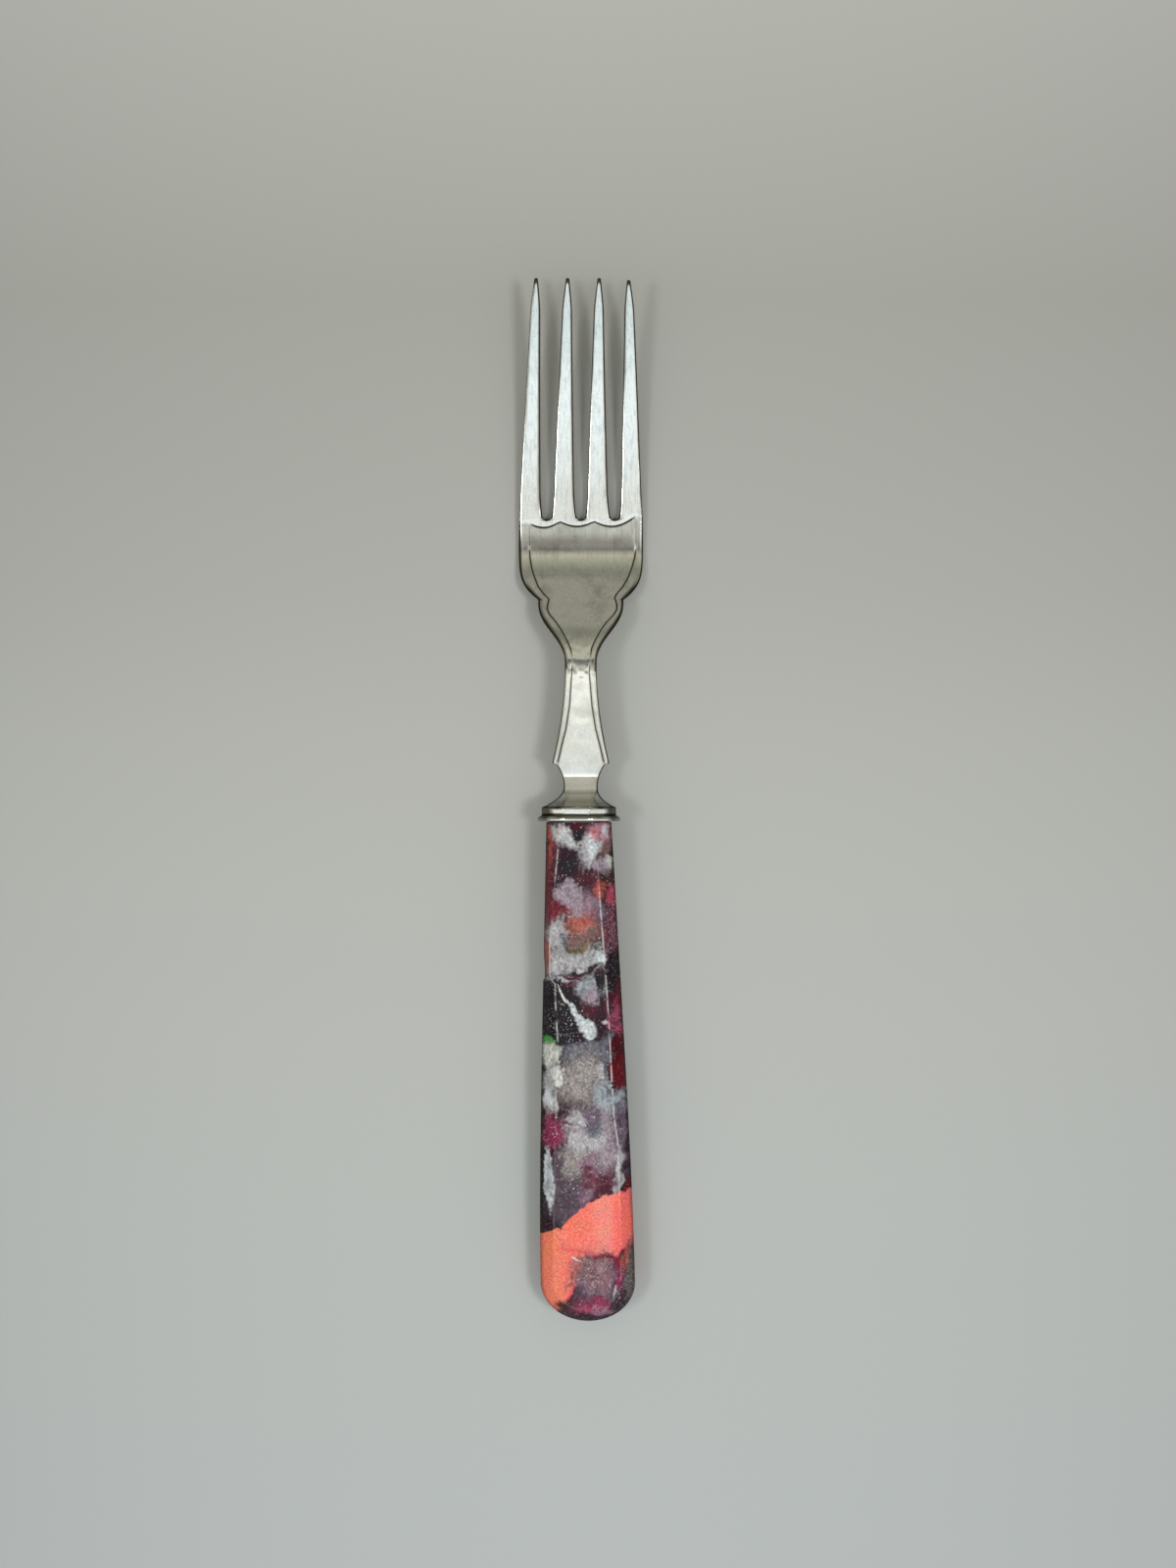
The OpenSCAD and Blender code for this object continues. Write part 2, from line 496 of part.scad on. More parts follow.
module adhesive() {
    color("dimgray") difference() {
        union() {
            translate([0, bed_y, seat_z]) rotate([90, 0, 0]) linear_extrude(bed_t) translate([handle_shift, 0])
                polygon(octagon(handle_top_w - 2 * bed_inset, handle_t - 2 * bed_inset, handle_bevel));
            along_handle() translate([0, 0, -bed_t / 2])
                cylinder(h = bed_t / 2 + tang_len + socket_spare, d = socket_d);
        }
        along_handle() translate([0, 0, -2 * bed_t]) cylinder(h = 2 * bed_t + tang_len, d = tang_d);
    }
}

head();
collar();
handle();
adhesive();
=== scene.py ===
import math

import bpy
import numpy as np
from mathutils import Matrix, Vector


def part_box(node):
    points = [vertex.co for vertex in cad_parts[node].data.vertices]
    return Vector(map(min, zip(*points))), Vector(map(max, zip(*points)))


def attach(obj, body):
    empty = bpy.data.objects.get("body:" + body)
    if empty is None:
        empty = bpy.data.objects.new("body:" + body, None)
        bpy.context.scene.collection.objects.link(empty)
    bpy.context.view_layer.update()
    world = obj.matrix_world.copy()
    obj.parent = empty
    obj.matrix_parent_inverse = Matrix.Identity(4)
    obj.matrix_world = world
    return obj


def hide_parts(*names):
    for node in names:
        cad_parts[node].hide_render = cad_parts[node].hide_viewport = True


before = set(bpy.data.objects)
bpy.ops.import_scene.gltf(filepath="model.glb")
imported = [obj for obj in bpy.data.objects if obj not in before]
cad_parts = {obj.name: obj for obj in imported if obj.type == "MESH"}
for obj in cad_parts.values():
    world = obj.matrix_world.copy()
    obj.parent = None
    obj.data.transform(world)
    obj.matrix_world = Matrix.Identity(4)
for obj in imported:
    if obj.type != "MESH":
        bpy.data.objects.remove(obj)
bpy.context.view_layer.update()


# The head. One forging in nickel silver: a blank is drawn out, its slots are pierced and its tines bent up,
# then the edges are rounded over, the thread lines are cut with a graver and the scallops struck with a punch.
# Lengths are in millimetres, y runs up the fork, and every row of points crosses the head from left to right.
mm = 0.001
tip_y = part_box("head")[1].y / mm
palm_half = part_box("head")[1].x / mm
collar_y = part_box("collar")[1].y / mm
tine_count = 4
tine_len = 45.4
crotch_y = tip_y - tine_len
palm_y = crotch_y - 6
nick_y = palm_y - 10
neck_y = nick_y - 13.3
crest_y = neck_y + 1.3
corner_y = neck_y - 18.4
step_y = corner_y - 2.65
shank_y = corner_y - 4.5
flare_y = shank_y - 4
band_y = collar_y + 0.25
root_pitch, tip_pitch = 6.64, 6.04
root_w, stem_w, shaft_w, nib_w = 4.7, 4.24, 2.02, 0.78
fillet_len, nib_len = 5, 6.6
slot_r = (root_pitch - root_w) / 2
tip_r = 0.6 * nib_w
tip_lean = 0.52
palm_t, tip_t, neck_t, panel_t, shank_t, band_t = 2.1, 1.45, 3.2, 4, 3.76, 10.9
neck_w, panel_w, heel_w, shank_w, band_w, nick_w = 6.14, 11.1, 9.7, 6.6, 14.3, 16.7
band_x = -0.35
bowl_z = palm_t / 2
crest_z = bowl_z + 8.9
panel_z = crest_z - 1.75
seat_z = (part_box("collar")[0].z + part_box("collar")[1].z) / 2 / mm
tine_rise, tine_slope, tine_roll = 10.2, math.tan(math.radians(5.4)), 2
neck_roll, crest_roll = 0.3, 0.08


def mix(a, b, t):
    """A straight blend from a to b as t goes from 0 to 1."""
    return a + (b - a) * t


def soft(t):
    """A blend share that leaves 0 and reaches 1 with no slope: 3 t squared less 2 t cubed."""
    t = np.clip(t, 0, 1)
    return t * t * (3 - 2 * t)


def way(y, start, end):
    """How far y has come from start to end, from 0 to 1."""
    return np.clip((y - start) / (end - start), 0, 1)


def bump(d, width):
    """A bell over the distance d: 1 at 0, and 1/e at a width's distance."""
    return np.exp(-(d / width) ** 2)


def ripple(places, size, seed, waves=14):
    """An uneven field: the mean of many sine waves of about one size, each in a direction of its own."""
    draw = np.random.default_rng(seed)
    total = 0
    for _ in range(waves):
        turn, length, phase = draw.uniform(0, np.pi), size * draw.uniform(0.7, 1.4), draw.uniform(0, 2 * np.pi)
        total = total + np.sin(2 * np.pi * (places[0] * np.cos(turn) + places[1] * np.sin(turn)) / length + phase)
    return total / math.sqrt(waves / 2)


def pitch(y):
    """Spacing of the tines: a straight blend from their roots to their tips."""
    return mix(root_pitch, tip_pitch, (y - crotch_y) / tine_len)


def lean(y):
    """Sideways lean of the tines: it grows with the length to the power of 1.5."""
    return tip_lean * np.clip((y - crotch_y) / tine_len, 0, 1) ** 1.5


def stem_width(y):
    """Width of a tine without its fillets: a straight taper, then a point that closes faster and faster."""
    taper = mix(stem_w, shaft_w, np.clip((y - crotch_y) / (tine_len - nib_len), 0, 1))
    point = mix(0, shaft_w - nib_w, np.clip((y - tip_y + nib_len) / (nib_len - tip_r), 0, 1) ** 1.4)
    return taper - point


def tip_round(y):
    """What is left of a tine's width at its round tip, as a share: 1 below the tip, then a quarter circle."""
    return np.sqrt(1 - np.clip((y - tip_y + tip_r) / tip_r, 0, 0.995) ** 2)


def slot_half(y):
    """Half a slot's width: a half circle at its end, then what the pitch leaves between two tines."""
    up = np.clip(y - crotch_y, 0, slot_r)
    fillet = (root_w - stem_w) * (1 - np.clip((y - crotch_y - slot_r) / fillet_len, 0, 1)) ** 2
    open_half = (pitch(y) - stem_width(y) - fillet) / 2
    return np.where(y < crotch_y + slot_r, np.sqrt(slot_r ** 2 - (slot_r - up) ** 2), open_half)


def slot_x(j, y):
    """Place across of slot j's middle line."""
    return (j + 1 - tine_count / 2) * pitch(y) + lean(y)


def half_width(y):
    """Half the width of the outline: shoulders, bulb, panel and shank, each a power of the way along it."""
    bulb = way(y, nick_y, neck_y)
    bulb = bulb ** 3 * (bulb * (6 * bulb - 15) + 10)
    return np.select(
        [y >= palm_y, y >= nick_y, y >= neck_y, y >= corner_y, y >= shank_y, y >= flare_y],
        [pitch(y) * (tine_count - 1) / 2 + stem_width(y) / 2,
         mix(palm_half, nick_w / 2, way(y, palm_y, nick_y) ** 3.5),
         mix(nick_w, neck_w, bulb) / 2,
         mix(neck_w, panel_w, way(y, neck_y, corner_y) ** 1.8) / 2,
         mix(shank_w, heel_w, way(y, shank_y, corner_y) ** 2) / 2,
         mix(shank_w, band_w, way(y, shank_y, flare_y) ** 2.3) / 2],
        band_w / 2)


def middle_height(y):
    """Height of the middle of the thickness.

    The tines rise as a parabola on a slope that starts softly, the neck swings up from bowl to crest with a parabola
    at either end, the panel falls from the crest as a hyperbola, and a quarter sine leads down to the seat."""
    d, top = np.maximum(y - palm_y, 0), tip_y - palm_y
    lift = tine_slope * (np.sqrt(d * d + tine_roll ** 2) - tine_roll)
    curve = (tine_rise - tine_slope * (math.hypot(top, tine_roll) - tine_roll)) / top ** 2
    u, ends = way(y, palm_y, crest_y), 2 * neck_roll * (1 - neck_roll)
    swing = np.where(u < neck_roll, u * u / ends,
                     np.where(u > 1 - neck_roll, 1 - (1 - u) ** 2 / ends, (u - neck_roll / 2) / (1 - neck_roll)))
    fall = (np.hypot(way(y, crest_y, step_y), crest_roll) - crest_roll) / (math.hypot(1, crest_roll) - crest_roll)
    seat = np.sin(np.pi / 2 * way(y, step_y, band_y))
    return np.select(
        [y >= palm_y, y >= crest_y, y >= step_y],
        [bowl_z + lift + curve * d * d, mix(bowl_z, crest_z, swing), mix(crest_z, panel_z, fall)],
        mix(panel_z, seat_z, seat))


def half_thickness(y):
    """Half the thickness, measured upright: it grows from tips to shank in soft steps, and flares into the band."""
    slope = (middle_height(y + 0.15) - middle_height(y - 0.15)) / 0.3
    panel = mix(neck_t, panel_t, way(y, neck_y, corner_y)) - (panel_t - shank_t) * way(y, step_y + 0.6, step_y)
    flat = np.select(
        [y >= palm_y, y >= neck_y, y >= step_y, y >= shank_y],
        [mix(palm_t, tip_t, way(y, palm_y, tip_y)), mix(palm_t, neck_t, soft(way(y, palm_y, neck_y))), panel, shank_t],
        mix(shank_t, band_t, way(y, shank_y, flare_y) ** 2.3)) / 2
    return np.where(y >= neck_y, flat * np.sqrt(1 + slope ** 2), flat)


# Rows of points down the head. They crowd together at the tips, the slots' ends, the scallops and each corner.
edge_turns = np.radians(np.linspace(0, 90, 7))
edge_rounds = 1 - np.cos(edge_turns)[None, :]
scallop_y = crotch_y - 1
tip_turns = np.radians([84, 72, 60, 48, 36, 24, 12])
slot_turns = np.radians(np.arange(80, 0, -10))
tine_rows = np.concatenate([
    tip_y - tip_r + tip_r * np.sin(tip_turns), np.linspace(tip_y - tip_r, tip_y - nib_len, 24)[:-1],
    np.linspace(tip_y - nib_len, crotch_y + slot_r, 60)[:-1], crotch_y + slot_r * (1 - np.cos(slot_turns))])[:, None]
near_scallop = np.array([0.36, 0.26, 0.18, 0.12, 0.06, 0, -0.06, -0.12, -0.18, -0.26, -0.36, -0.5, -0.7, -1, -1.35])
near_band = np.array([0.3, 0.16, 0.08, 0, -0.06, -0.14, -0.25, -0.39, -0.55, -0.7, -0.87, -1.04, -1.13, -1.2, -1.25])
plate_rows = np.concatenate([
    crotch_y - 0.4 * (1 - np.cos(edge_turns)), scallop_y + near_scallop,
    np.linspace(scallop_y - 1.7, palm_y, 14), mix(nick_y, palm_y, np.linspace(1, 0, 30)[1:] ** 1.5),
    mix(nick_y, neck_y, np.linspace(0, 1, 36)[1:] ** 1.2), np.linspace(neck_y, corner_y, 40)[1:],
    np.linspace(corner_y, step_y + 0.65, 8)[1:], np.linspace(step_y + 0.65, step_y, 7)[1:],
    np.linspace(step_y, step_y - 0.9, 8)[1:], np.linspace(step_y - 0.9, shank_y, 7)[1:],
    np.linspace(shank_y, flare_y + 0.4, 18)[1:],
    flare_y + near_band, band_y + np.array([0, -0.04, -0.12]), [collar_y]])[:, None]

# Places of the thread lines: up the fork, and across from the middle line to the left and to the right
thread_y = [tip_y, 49.4, 47.8, 45.6, 43.7, 41.8, 40.3, 39.35, 39.1, 38, 37.1, 36.2,
            34.7, 33, 31, 29.4, 27.4, 25, 18.4, 14, 10.9, 7.2, 0]
thread_left = [10.1, 10.04, 9.95, 9.6, 9.03, 8.3, 7.2, 6.25, 6.2, 6.44, 6.47, 6.07,
               4.85, 3.72, 2.62, 1.93, 1.6, 1.72, 2.17, 2.85, 3.65, 4.5, 4.5]
thread_right = [10.75, 10.75, 10.55, 9.93, 9.25, 8.2, 6.95, 6.5, 6.75, 7, 6.95, 6.44,
                5.05, 3.85, 2.72, 2.06, 1.83, 1.6, 2.15, 2.85, 3.65, 4.5, 4.5]
thread_half = 0.22
thread_steps = thread_half * np.linspace(-1, 1, 5)[None, :]
inner_n = 9
strip_n = 2 * len(edge_turns) + inner_n
plate_n = tine_count * (strip_n - 1) + 1
tine_side, outer_flat = 12.1, root_pitch / 2 + stem_w / 2 - 0.85
left_wear, narrow = 0.3, 0.42


def edge_width(y, worn=0.0):
    """Width of the rounded edge, straight between stations: wide on the palm, narrow on the panel, wider where worn."""
    stations = [corner_y, neck_y - 2, nick_y, palm_y, crotch_y + 4, tip_y]
    return np.interp(y, stations, [0.2, 0.24, 0.42 + 0.2 * worn, 0.42 + worn, 0.27, 0.25])


def place_at(y, places):
    """A given place across the head, straight between the heights where it is given."""
    return np.interp(-y, -np.array(thread_y), places)


def strip(i, y):
    """Columns across tine i: rounded edge, flat, rounded edge; an outer tine's flat also has the thread's columns."""
    left = lean(y) - half_width(y) if i == 0 else slot_x(i - 1, y) + slot_half(y)
    right = lean(y) + half_width(y) if i == tine_count - 1 else slot_x(i, y) - slot_half(y)
    width = (right - left) * tip_round(y)
    start = (left + right - width) / 2
    edges = [np.minimum(edge_width(y, left_wear * (i == 0)), narrow * width), np.minimum(edge_width(y), narrow * width)]
    flat = np.linspace(0, 1, inner_n + 2)[None, 1:-1]
    if i in (0, tine_count - 1):
        from_side = tine_side - (thread_left if i == 0 else thread_right)[0]
        cuts = (from_side - 0.45 + thread_steps) / outer_flat
        flat = np.hstack([[[cuts[0, 0] / 2]], cuts, mix(cuts[0, -1], 1, np.array([[0.25, 0.5, 0.75]]))])
        flat = flat if i == 0 else 1 - flat[:, ::-1]
    return np.hstack([start + edges[0] * edge_rounds, start + edges[0] + flat * (width - edges[0] - edges[1]),
                      start + width - edges[1] * edge_rounds[:, ::-1]])


def plate(y):
    """Columns across the undivided head: edges and thread lines follow the outline, and the rest is spread evenly."""
    half = half_width(y)
    room = half - edge_width(y, left_wear) - 0.32
    left, right = -np.minimum(place_at(y, thread_left), room), np.minimum(place_at(y, thread_right), room)
    ends = [-half + edge_width(y, left_wear) * edge_rounds, half - edge_width(y) * edge_rounds[:, ::-1]]
    cuts = [left + thread_steps, right + thread_steps]
    spread = np.linspace(0, 1, plate_n - 2 * (len(edge_turns) + 1 + thread_steps.size) + 2)[None, 1:-1]
    return np.hstack([ends[0], (ends[0][:, -1:] + cuts[0][:, :1]) / 2, cuts[0],
                      mix(cuts[0][:, -1:], cuts[1][:, :1], spread),
                      cuts[1], (cuts[1][:, -1:] + ends[1][:, :1]) / 2, ends[1]])


# The scallops: three arcs under the slots, each through its left end, its lowest point and its right end
arcs = np.array([[[-10.05, 54.45], [-7.8, 53.6], [-4.1, 54.82]],
                 [[-4.1, 54.82], [-1, 53.82], [2.61, 54.85]],
                 [[2.61, 54.85], [5.75, 53.82], [10.48, 55.7]]])
arcs_left, arcs_right = arcs[0, 0], arcs[-1, -1]
lift_top, lift_from, lift_over, lift_above, lift_below = 1.15, 7.3, 3.2, 6, 5


def scallop_line(x):
    """Height of the scallops' line over x: a parabola through the three points of each arc."""
    line = np.where(x < arcs_left[0], arcs_left[1], arcs_right[1])
    for (x0, y0), (x1, y1), (x2, y2) in arcs:
        through = (y0 * (x - x1) * (x - x2) / ((x0 - x1) * (x0 - x2))
                   + y1 * (x - x0) * (x - x2) / ((x1 - x0) * (x1 - x2))
                   + y2 * (x - x0) * (x - x1) / ((x2 - x0) * (x2 - x1)))
        line = np.where((x >= x0) & (x < x2), through, line)
    return line


def lifted(x, v):
    """How far the right-hand tine's rows are lifted, so that the last scallop can run up beside it."""
    fade = np.where(v > crotch_y, 1 - soft((v - crotch_y) / lift_above), 1 - soft((scallop_y - v) / lift_below))
    return lift_top * soft((x - lift_from) / lift_over) * fade


# The band: its corners as shares of its half width, and their heights as shares of its half thickness; then how far
# it swells or sinks down its own height, how far the nick above it cuts in, and how far it steps back below
corner_shares, height_shares = [-1, -0.79, -0.41, 0.26, 0.83, 1], [0.4, 0.74, 0.94, 1, 0.73, 0.4]
swell_at, swell_by = [0, 0.06, 0.16, 0.3, 0.8, 0.93, 1], [-0.16, -0.04, 0.05, 0.09, -0.03, -0.1, -0.16]
nick_at, nick_by = [0, 0.12, 0.35], [-0.16, -0.1, 0]
step_back = -0.4
band_chamfer, band_fall = 2.3, 2.4

# The cuts: their widths and depths, and the height of the dents and of the swell that the punch pushed up
thread_w, thread_depth = 0.12, 0.08
scallop_above, scallop_below, scallop_depth = 0.07, 0.16, 0.14
long_dents, short_dents, punch_swell = 0.004, 0.0025, 0.026

# How dark the metal is: along each kind of rounded edge from the panel up, as tarnish and painted dark reflection; in a
# band over the palm, as a dulling film and a painted dark reflection; in the cuts and in the band's nick, joint and
# file marks, as tarnish; on the tines' tips and beside the crest, as painted dark reflection; and at the band's ends,
# beside the panel, on the shank and near every edge, as painted shade
rim_at = [corner_y, neck_y - 2, neck_y + 1, nick_y, palm_y - 3, palm_y,
          crotch_y, crotch_y + 4, crotch_y + 18, crotch_y + 28]
right_rims = [0.3, 0.28, 0.36, 0.45, 0.36, 0.34, 0.34, 0.34, 0.34, 0.34]
left_rims = [0.3, 0.28, 0.36, 0.5, 0.55, 0.55, 0.3, 0.2, 0.3, 0.45]
slot_rims = [0, 0, 0, 0, 0, 0.3, 0.3, 0.16, 0.16, 0.3]
dull_reflection_at = palm_y + np.array([-1, -0.3, 0.3, 1.4, 2, 2.6, 3.5, 4.7, 4.9])
dull_reflection_by = [0, 0.25, 0.53, 0.66, 0.64, 0.56, 0.42, 0.36, 0]
cut_dark, tip_reflection_dark, tip_reflection_len, slot_dark = 1.1, 0.95, 1.3, 0.95
nick_dark, joint_dark, band_end_shade, file_dark = 0.5, 0.95, 0.62, 0.16
crest_reflection_dark, neck_dark, neck_haze, foot_shade, shank_shade, edge_shade = 0.36, 0.13, 0.05, 0.07, 0.09, 0.1


def surface(x, v):
    """Points of the face and the back over the columns x and rows v, and how dark they are, from tarnished metal and
    painted shade.

    Rows bend to follow the scallops. A side's height is half the thickness less the fall of the rounded edge: a
    quarter ellipse over the distance to the nearest outline or slot. Cuts are bells pressed into the face alone.
    Below the shank the edge widens into facets, and the band swells, with a nick above it and a step below it.
    Its darkness is a sum of soft stripes and spots. Tarnished metal is in the cuts, in the band's nick and joint and in
    two file marks.
    Along the edges it is partly tarnished metal and partly painted dark reflection, and over the palm a dulled film
    with a painted dark reflection; on the tips and beside the crest it is painted dark reflection; at the panel's foot,
    on the shank, the flare, the band's ends and towards every edge it is painted shade."""
    dip = scallop_line(x) - scallop_y - lifted(x, v)
    fade = np.where(v > scallop_y, 1 - (v - scallop_y) / (crotch_y - scallop_y), 1 - soft((scallop_y - v) / 3.5))
    y = v + lifted(x, v) + dip * np.clip(fade, 0, 1)

    # The outline, the gaps to it and to the slots, and the rounded edges
    swells = np.interp((flare_y - v) / (flare_y - band_y), swell_at, swell_by)
    band_out = np.where(v > flare_y, np.interp(v - flare_y, nick_at, nick_by), np.where(v < band_y, step_back, swells))
    ragged = 0.2 * ripple((x, y), 1.8, 5) * bump(v - crest_y, 3)
    half, thick, middle = half_width(v) + band_out, half_thickness(y) + band_out, middle_height(y + ragged)
    steep = np.abs(half_width(v + 0.05) - half_width(v - 0.05)) / 0.1
    slant = np.where((v < palm_y) & (v > corner_y), np.sqrt(1 + np.clip(steep, 0, 1) ** 2), 1)
    from_left, from_right = (x - lean(v) + half) / slant, (half - x + lean(v)) / slant
    from_edge = np.minimum(from_left, from_right)
    slots = [slot_x(j, v) for j in range(tine_count - 1)]
    slot_gaps = np.array([np.where(v < crotch_y + slot_r, np.hypot(x - at, crotch_y + slot_r - y) - slot_r,
                                   np.abs(x - at) - slot_half(v)) for at in slots])
    from_slots = slot_gaps.min(0)
    slot_on_right = np.array([x < at for at in slots])
    slot_right = np.where(slot_on_right, slot_gaps, 99).min(0)
    slot_left = np.where(slot_on_right, 99, slot_gaps).min(0)
    edge_w = edge_width(v)
    rounds = np.clip(np.max([1 - from_left / edge_width(v, left_wear), 1 - from_right / edge_w,
                             1 - from_slots / edge_w], axis=0), 0, 1)
    tip_thick = thick * mix(0.35, 1, tip_round(v))
    tine_w = np.minimum(1, stem_width(v) * tip_round(v) / (2.3 * edge_w))
    rounded = tip_thick - np.minimum(1.1 * edge_w * tine_w, 0.7 * tip_thick) * (1 - np.sqrt(1 - rounds ** 2))

    # The flare, and the filed band
    opened = soft((shank_y - v) / (shank_y - flare_y))
    chamfer = mix(edge_w, band_chamfer, opened)
    flared = thick - mix(edge_w, band_fall, opened) * np.clip(1 - from_edge / chamfer, 0, 1)
    height = mix(rounded, flared, soft((shank_y + 0.6 - v) / 1.2))
    facets = np.interp((x - lean(v)) / half, corner_shares, height_shares) * thick
    height = np.where(v < flare_y + 0.1, facets, height)

    # The thread lines and scallops, the dents, and the swell beside the scallops
    off_left, off_right = x + place_at(v, thread_left), x - place_at(v, thread_right)
    cut = soft((scallop_y - 0.2 - v) / 0.8) * soft((v - corner_y + 0.3) / 0.6) * (1 - 0.95 * bump(v - crest_y, 1.3))
    threads = (bump(off_left, thread_w) + bump(off_right, thread_w)) * cut
    threads = threads * np.interp(v, [neck_y - 1, neck_y + 1, palm_y - 0.6, palm_y + 1.3], [0.25, 1, 1, 0.1])
    line_w = np.interp(v, [corner_y, neck_y - 4, neck_y, palm_y], [0.24, 0.18, 0.14, 0.14])
    lines = (bump(off_left, line_w) + bump(off_right, line_w)) * cut * mix(1, 0.3, soft((v - palm_y + 0.3) / 0.6))
    struck = soft((x - arcs_left[0]) / 0.5) * soft((arcs_right[0] - x) / 0.15)
    scallops = struck * mix(1, 1.7, soft((x - 7) / 3.5)) * np.where(
        v > scallop_y, bump(v - scallop_y, scallop_above), bump(v - scallop_y, scallop_below))
    plate_share = soft((neck_y + 16 - v) / 3) * soft((v - corner_y - 1) / 2)
    dents = long_dents * ripple((x, y), 5, 3) + short_dents * ripple((x, y), 2.2, 4) * plate_share
    dents = dents * (1 - 0.8 * bump(v - neck_y + 1, 3))
    swell = punch_swell * soft((v - scallop_y) / 1.2) * (1 - soft((v - crotch_y - 0.5) / 6))
    face = middle + height - thread_depth * threads - scallop_depth * scallops + (dents * (rounds == 0) + swell)
    back = middle - height + dents * (rounds == 0)
    cross = x + band_x * opened

    # The tarnish, with painted shade and painted dark reflections
    # Dark rims along the rounded edges and slots: partly tarnish, partly painted dark reflection of edges that turn
    # away from the light
    dark_rim = lambda widths, gap: soft((np.interp(v, rim_at, widths) - gap) / 0.16 + 0.3)
    edges = np.max([dark_rim(right_rims, np.minimum(from_right, slot_right)),
                    dark_rim(left_rims, from_left) * mix(0.85, 0.6, soft((v - crotch_y) / 10)),
                    slot_dark * dark_rim(slot_rims, slot_left)], axis=0) * (v > flare_y + 0.1)
    outside = soft((from_edge / edge_w - 0.08) / 0.3)
    inside = np.maximum(soft((from_slots / edge_w - 0.08) / 0.3), 0.9 * soft((crotch_y + 7 - v) / 5))
    edges = edges * outside * inside
    # Painted dark reflection on the tines' tips, where they bend and round over
    painted_tip_reflection = tip_reflection_dark * soft((v - tip_y + tip_reflection_len) / 0.6)
    painted_tip_reflection = painted_tip_reflection * soft(from_slots / edge_w / 0.3) * soft(from_edge / edge_w / 0.3)
    # A dulled film over the palm with a painted dark reflection across it, and a faint haze on the neck's slope
    dull_and_shade = np.interp(v, dull_reflection_at, dull_reflection_by) * (1 - 0.25 * bump(off_left, 0.2) - 0.25 * bump(off_right, 0.2))
    dull_and_shade = dull_and_shade * mix(1, 0.8, soft(np.abs(x) - 9.6))
    dull_and_shade = dull_and_shade + neck_haze * soft((palm_y - v) / 1.5) * soft((v - neck_y - 2) / 3)
    # Painted shade: darker towards every edge and slot
    dull_and_shade = dull_and_shade + edge_shade * np.exp(-np.minimum(from_edge, from_slots) / 0.4)
    # Painted shade on the band's end facets, and two file marks
    filed = band_end_shade * soft((np.abs(x) - 4.7) / 0.9) + file_dark * bump(x + 2.8, 0.22) + file_dark * bump(x - 1.9, 0.22)
    # Painted shade down the shank
    band = (v <= flare_y) * filed + shank_shade * soft((step_y - 0.4 - v) / 1.8) * soft((v - shank_y + 1.4) / 1.2)
    band = band + nick_dark * bump(v - flare_y - 0.04, 0.08) + joint_dark * soft((band_y + 0.03 - v) / 0.06)
    # Painted shade on the flare, darker towards its sides
    band = band + opened * (v > flare_y) * (0.2 + 0.4 * soft((np.abs(x) / half - 0.4) / 0.3))
    spot = neck_dark * np.exp(-((x + 0.3) / 1.3) ** 2 - (y - neck_y - 6.6) ** 2)
    # Painted dark reflection beside the crest, ragged like it
    spot = spot + crest_reflection_dark * soft((y + 1.5 * ragged - neck_y + 0.9) / 0.5) * soft((crest_y + 0.3 - y) / 0.5)
    # Painted shade at the panel's foot
    spot = spot + foot_shade * soft((corner_y + 0.8 - v) / 1.2) * soft((v - step_y - 0.55) / 0.3)
    tarnish_and_shade = np.clip(cut_dark * lines + cut_dark * scallops + edges + painted_tip_reflection + dull_and_shade + band + spot, 0, 1)
    return np.stack([cross, y, face], -1), np.stack([cross, y, back], -1), tarnish_and_shade, edges


def rings(x, v):
    """Closed rings of points round the head, one for each row: over the face from the left, and home over the back."""
    face, back, face_darkness, back_darkness = surface(x, v + 0 * x)
    return np.concatenate([face, back[:, ::-1]], 1), np.concatenate([face_darkness, back_darkness[:, ::-1]], 1)


def tube(ids):
    """Four-sided faces between rings of point numbers, each ring closed on itself."""
    near, far = ids[:-1], ids[1:]
    return np.stack([near, far, np.roll(far, -1, 1), np.roll(near, -1, 1)], -1).reshape(-1, 4)


def lid(ring, up):
    """Faces across one ring, from its first half to its second, which runs the other way."""
    n = len(ring) // 2
    face, back = ring[:n], ring[:n - 1:-1]
    quads = np.stack([face[:-1], face[1:], back[1:], back[:-1]], -1)
    return quads if up else quads[:, ::-1]


def piece(name, points, faces, angle=35):
    """Puts points in millimetres and faces of point numbers into a mesh object that sits at the origin."""
    mesh = bpy.data.meshes.new(name)
    mesh.from_pydata((np.asarray(points) * mm).tolist(), [], [f.tolist() for f in faces])
    mesh.polygons.foreach_set("use_smooth", np.ones(len(mesh.polygons), bool))
    mesh.set_sharp_from_angle(angle=math.radians(angle))
    made = bpy.data.objects.new(name, mesh)
    bpy.context.scene.collection.objects.link(made)
    return made


def give(thing, name, values):
    """Stores one number for each point of a piece, for its material to read."""
    thing.data.attributes.new(name, "FLOAT", "POINT").data.foreach_set("value", np.ravel(values).astype(np.float32))


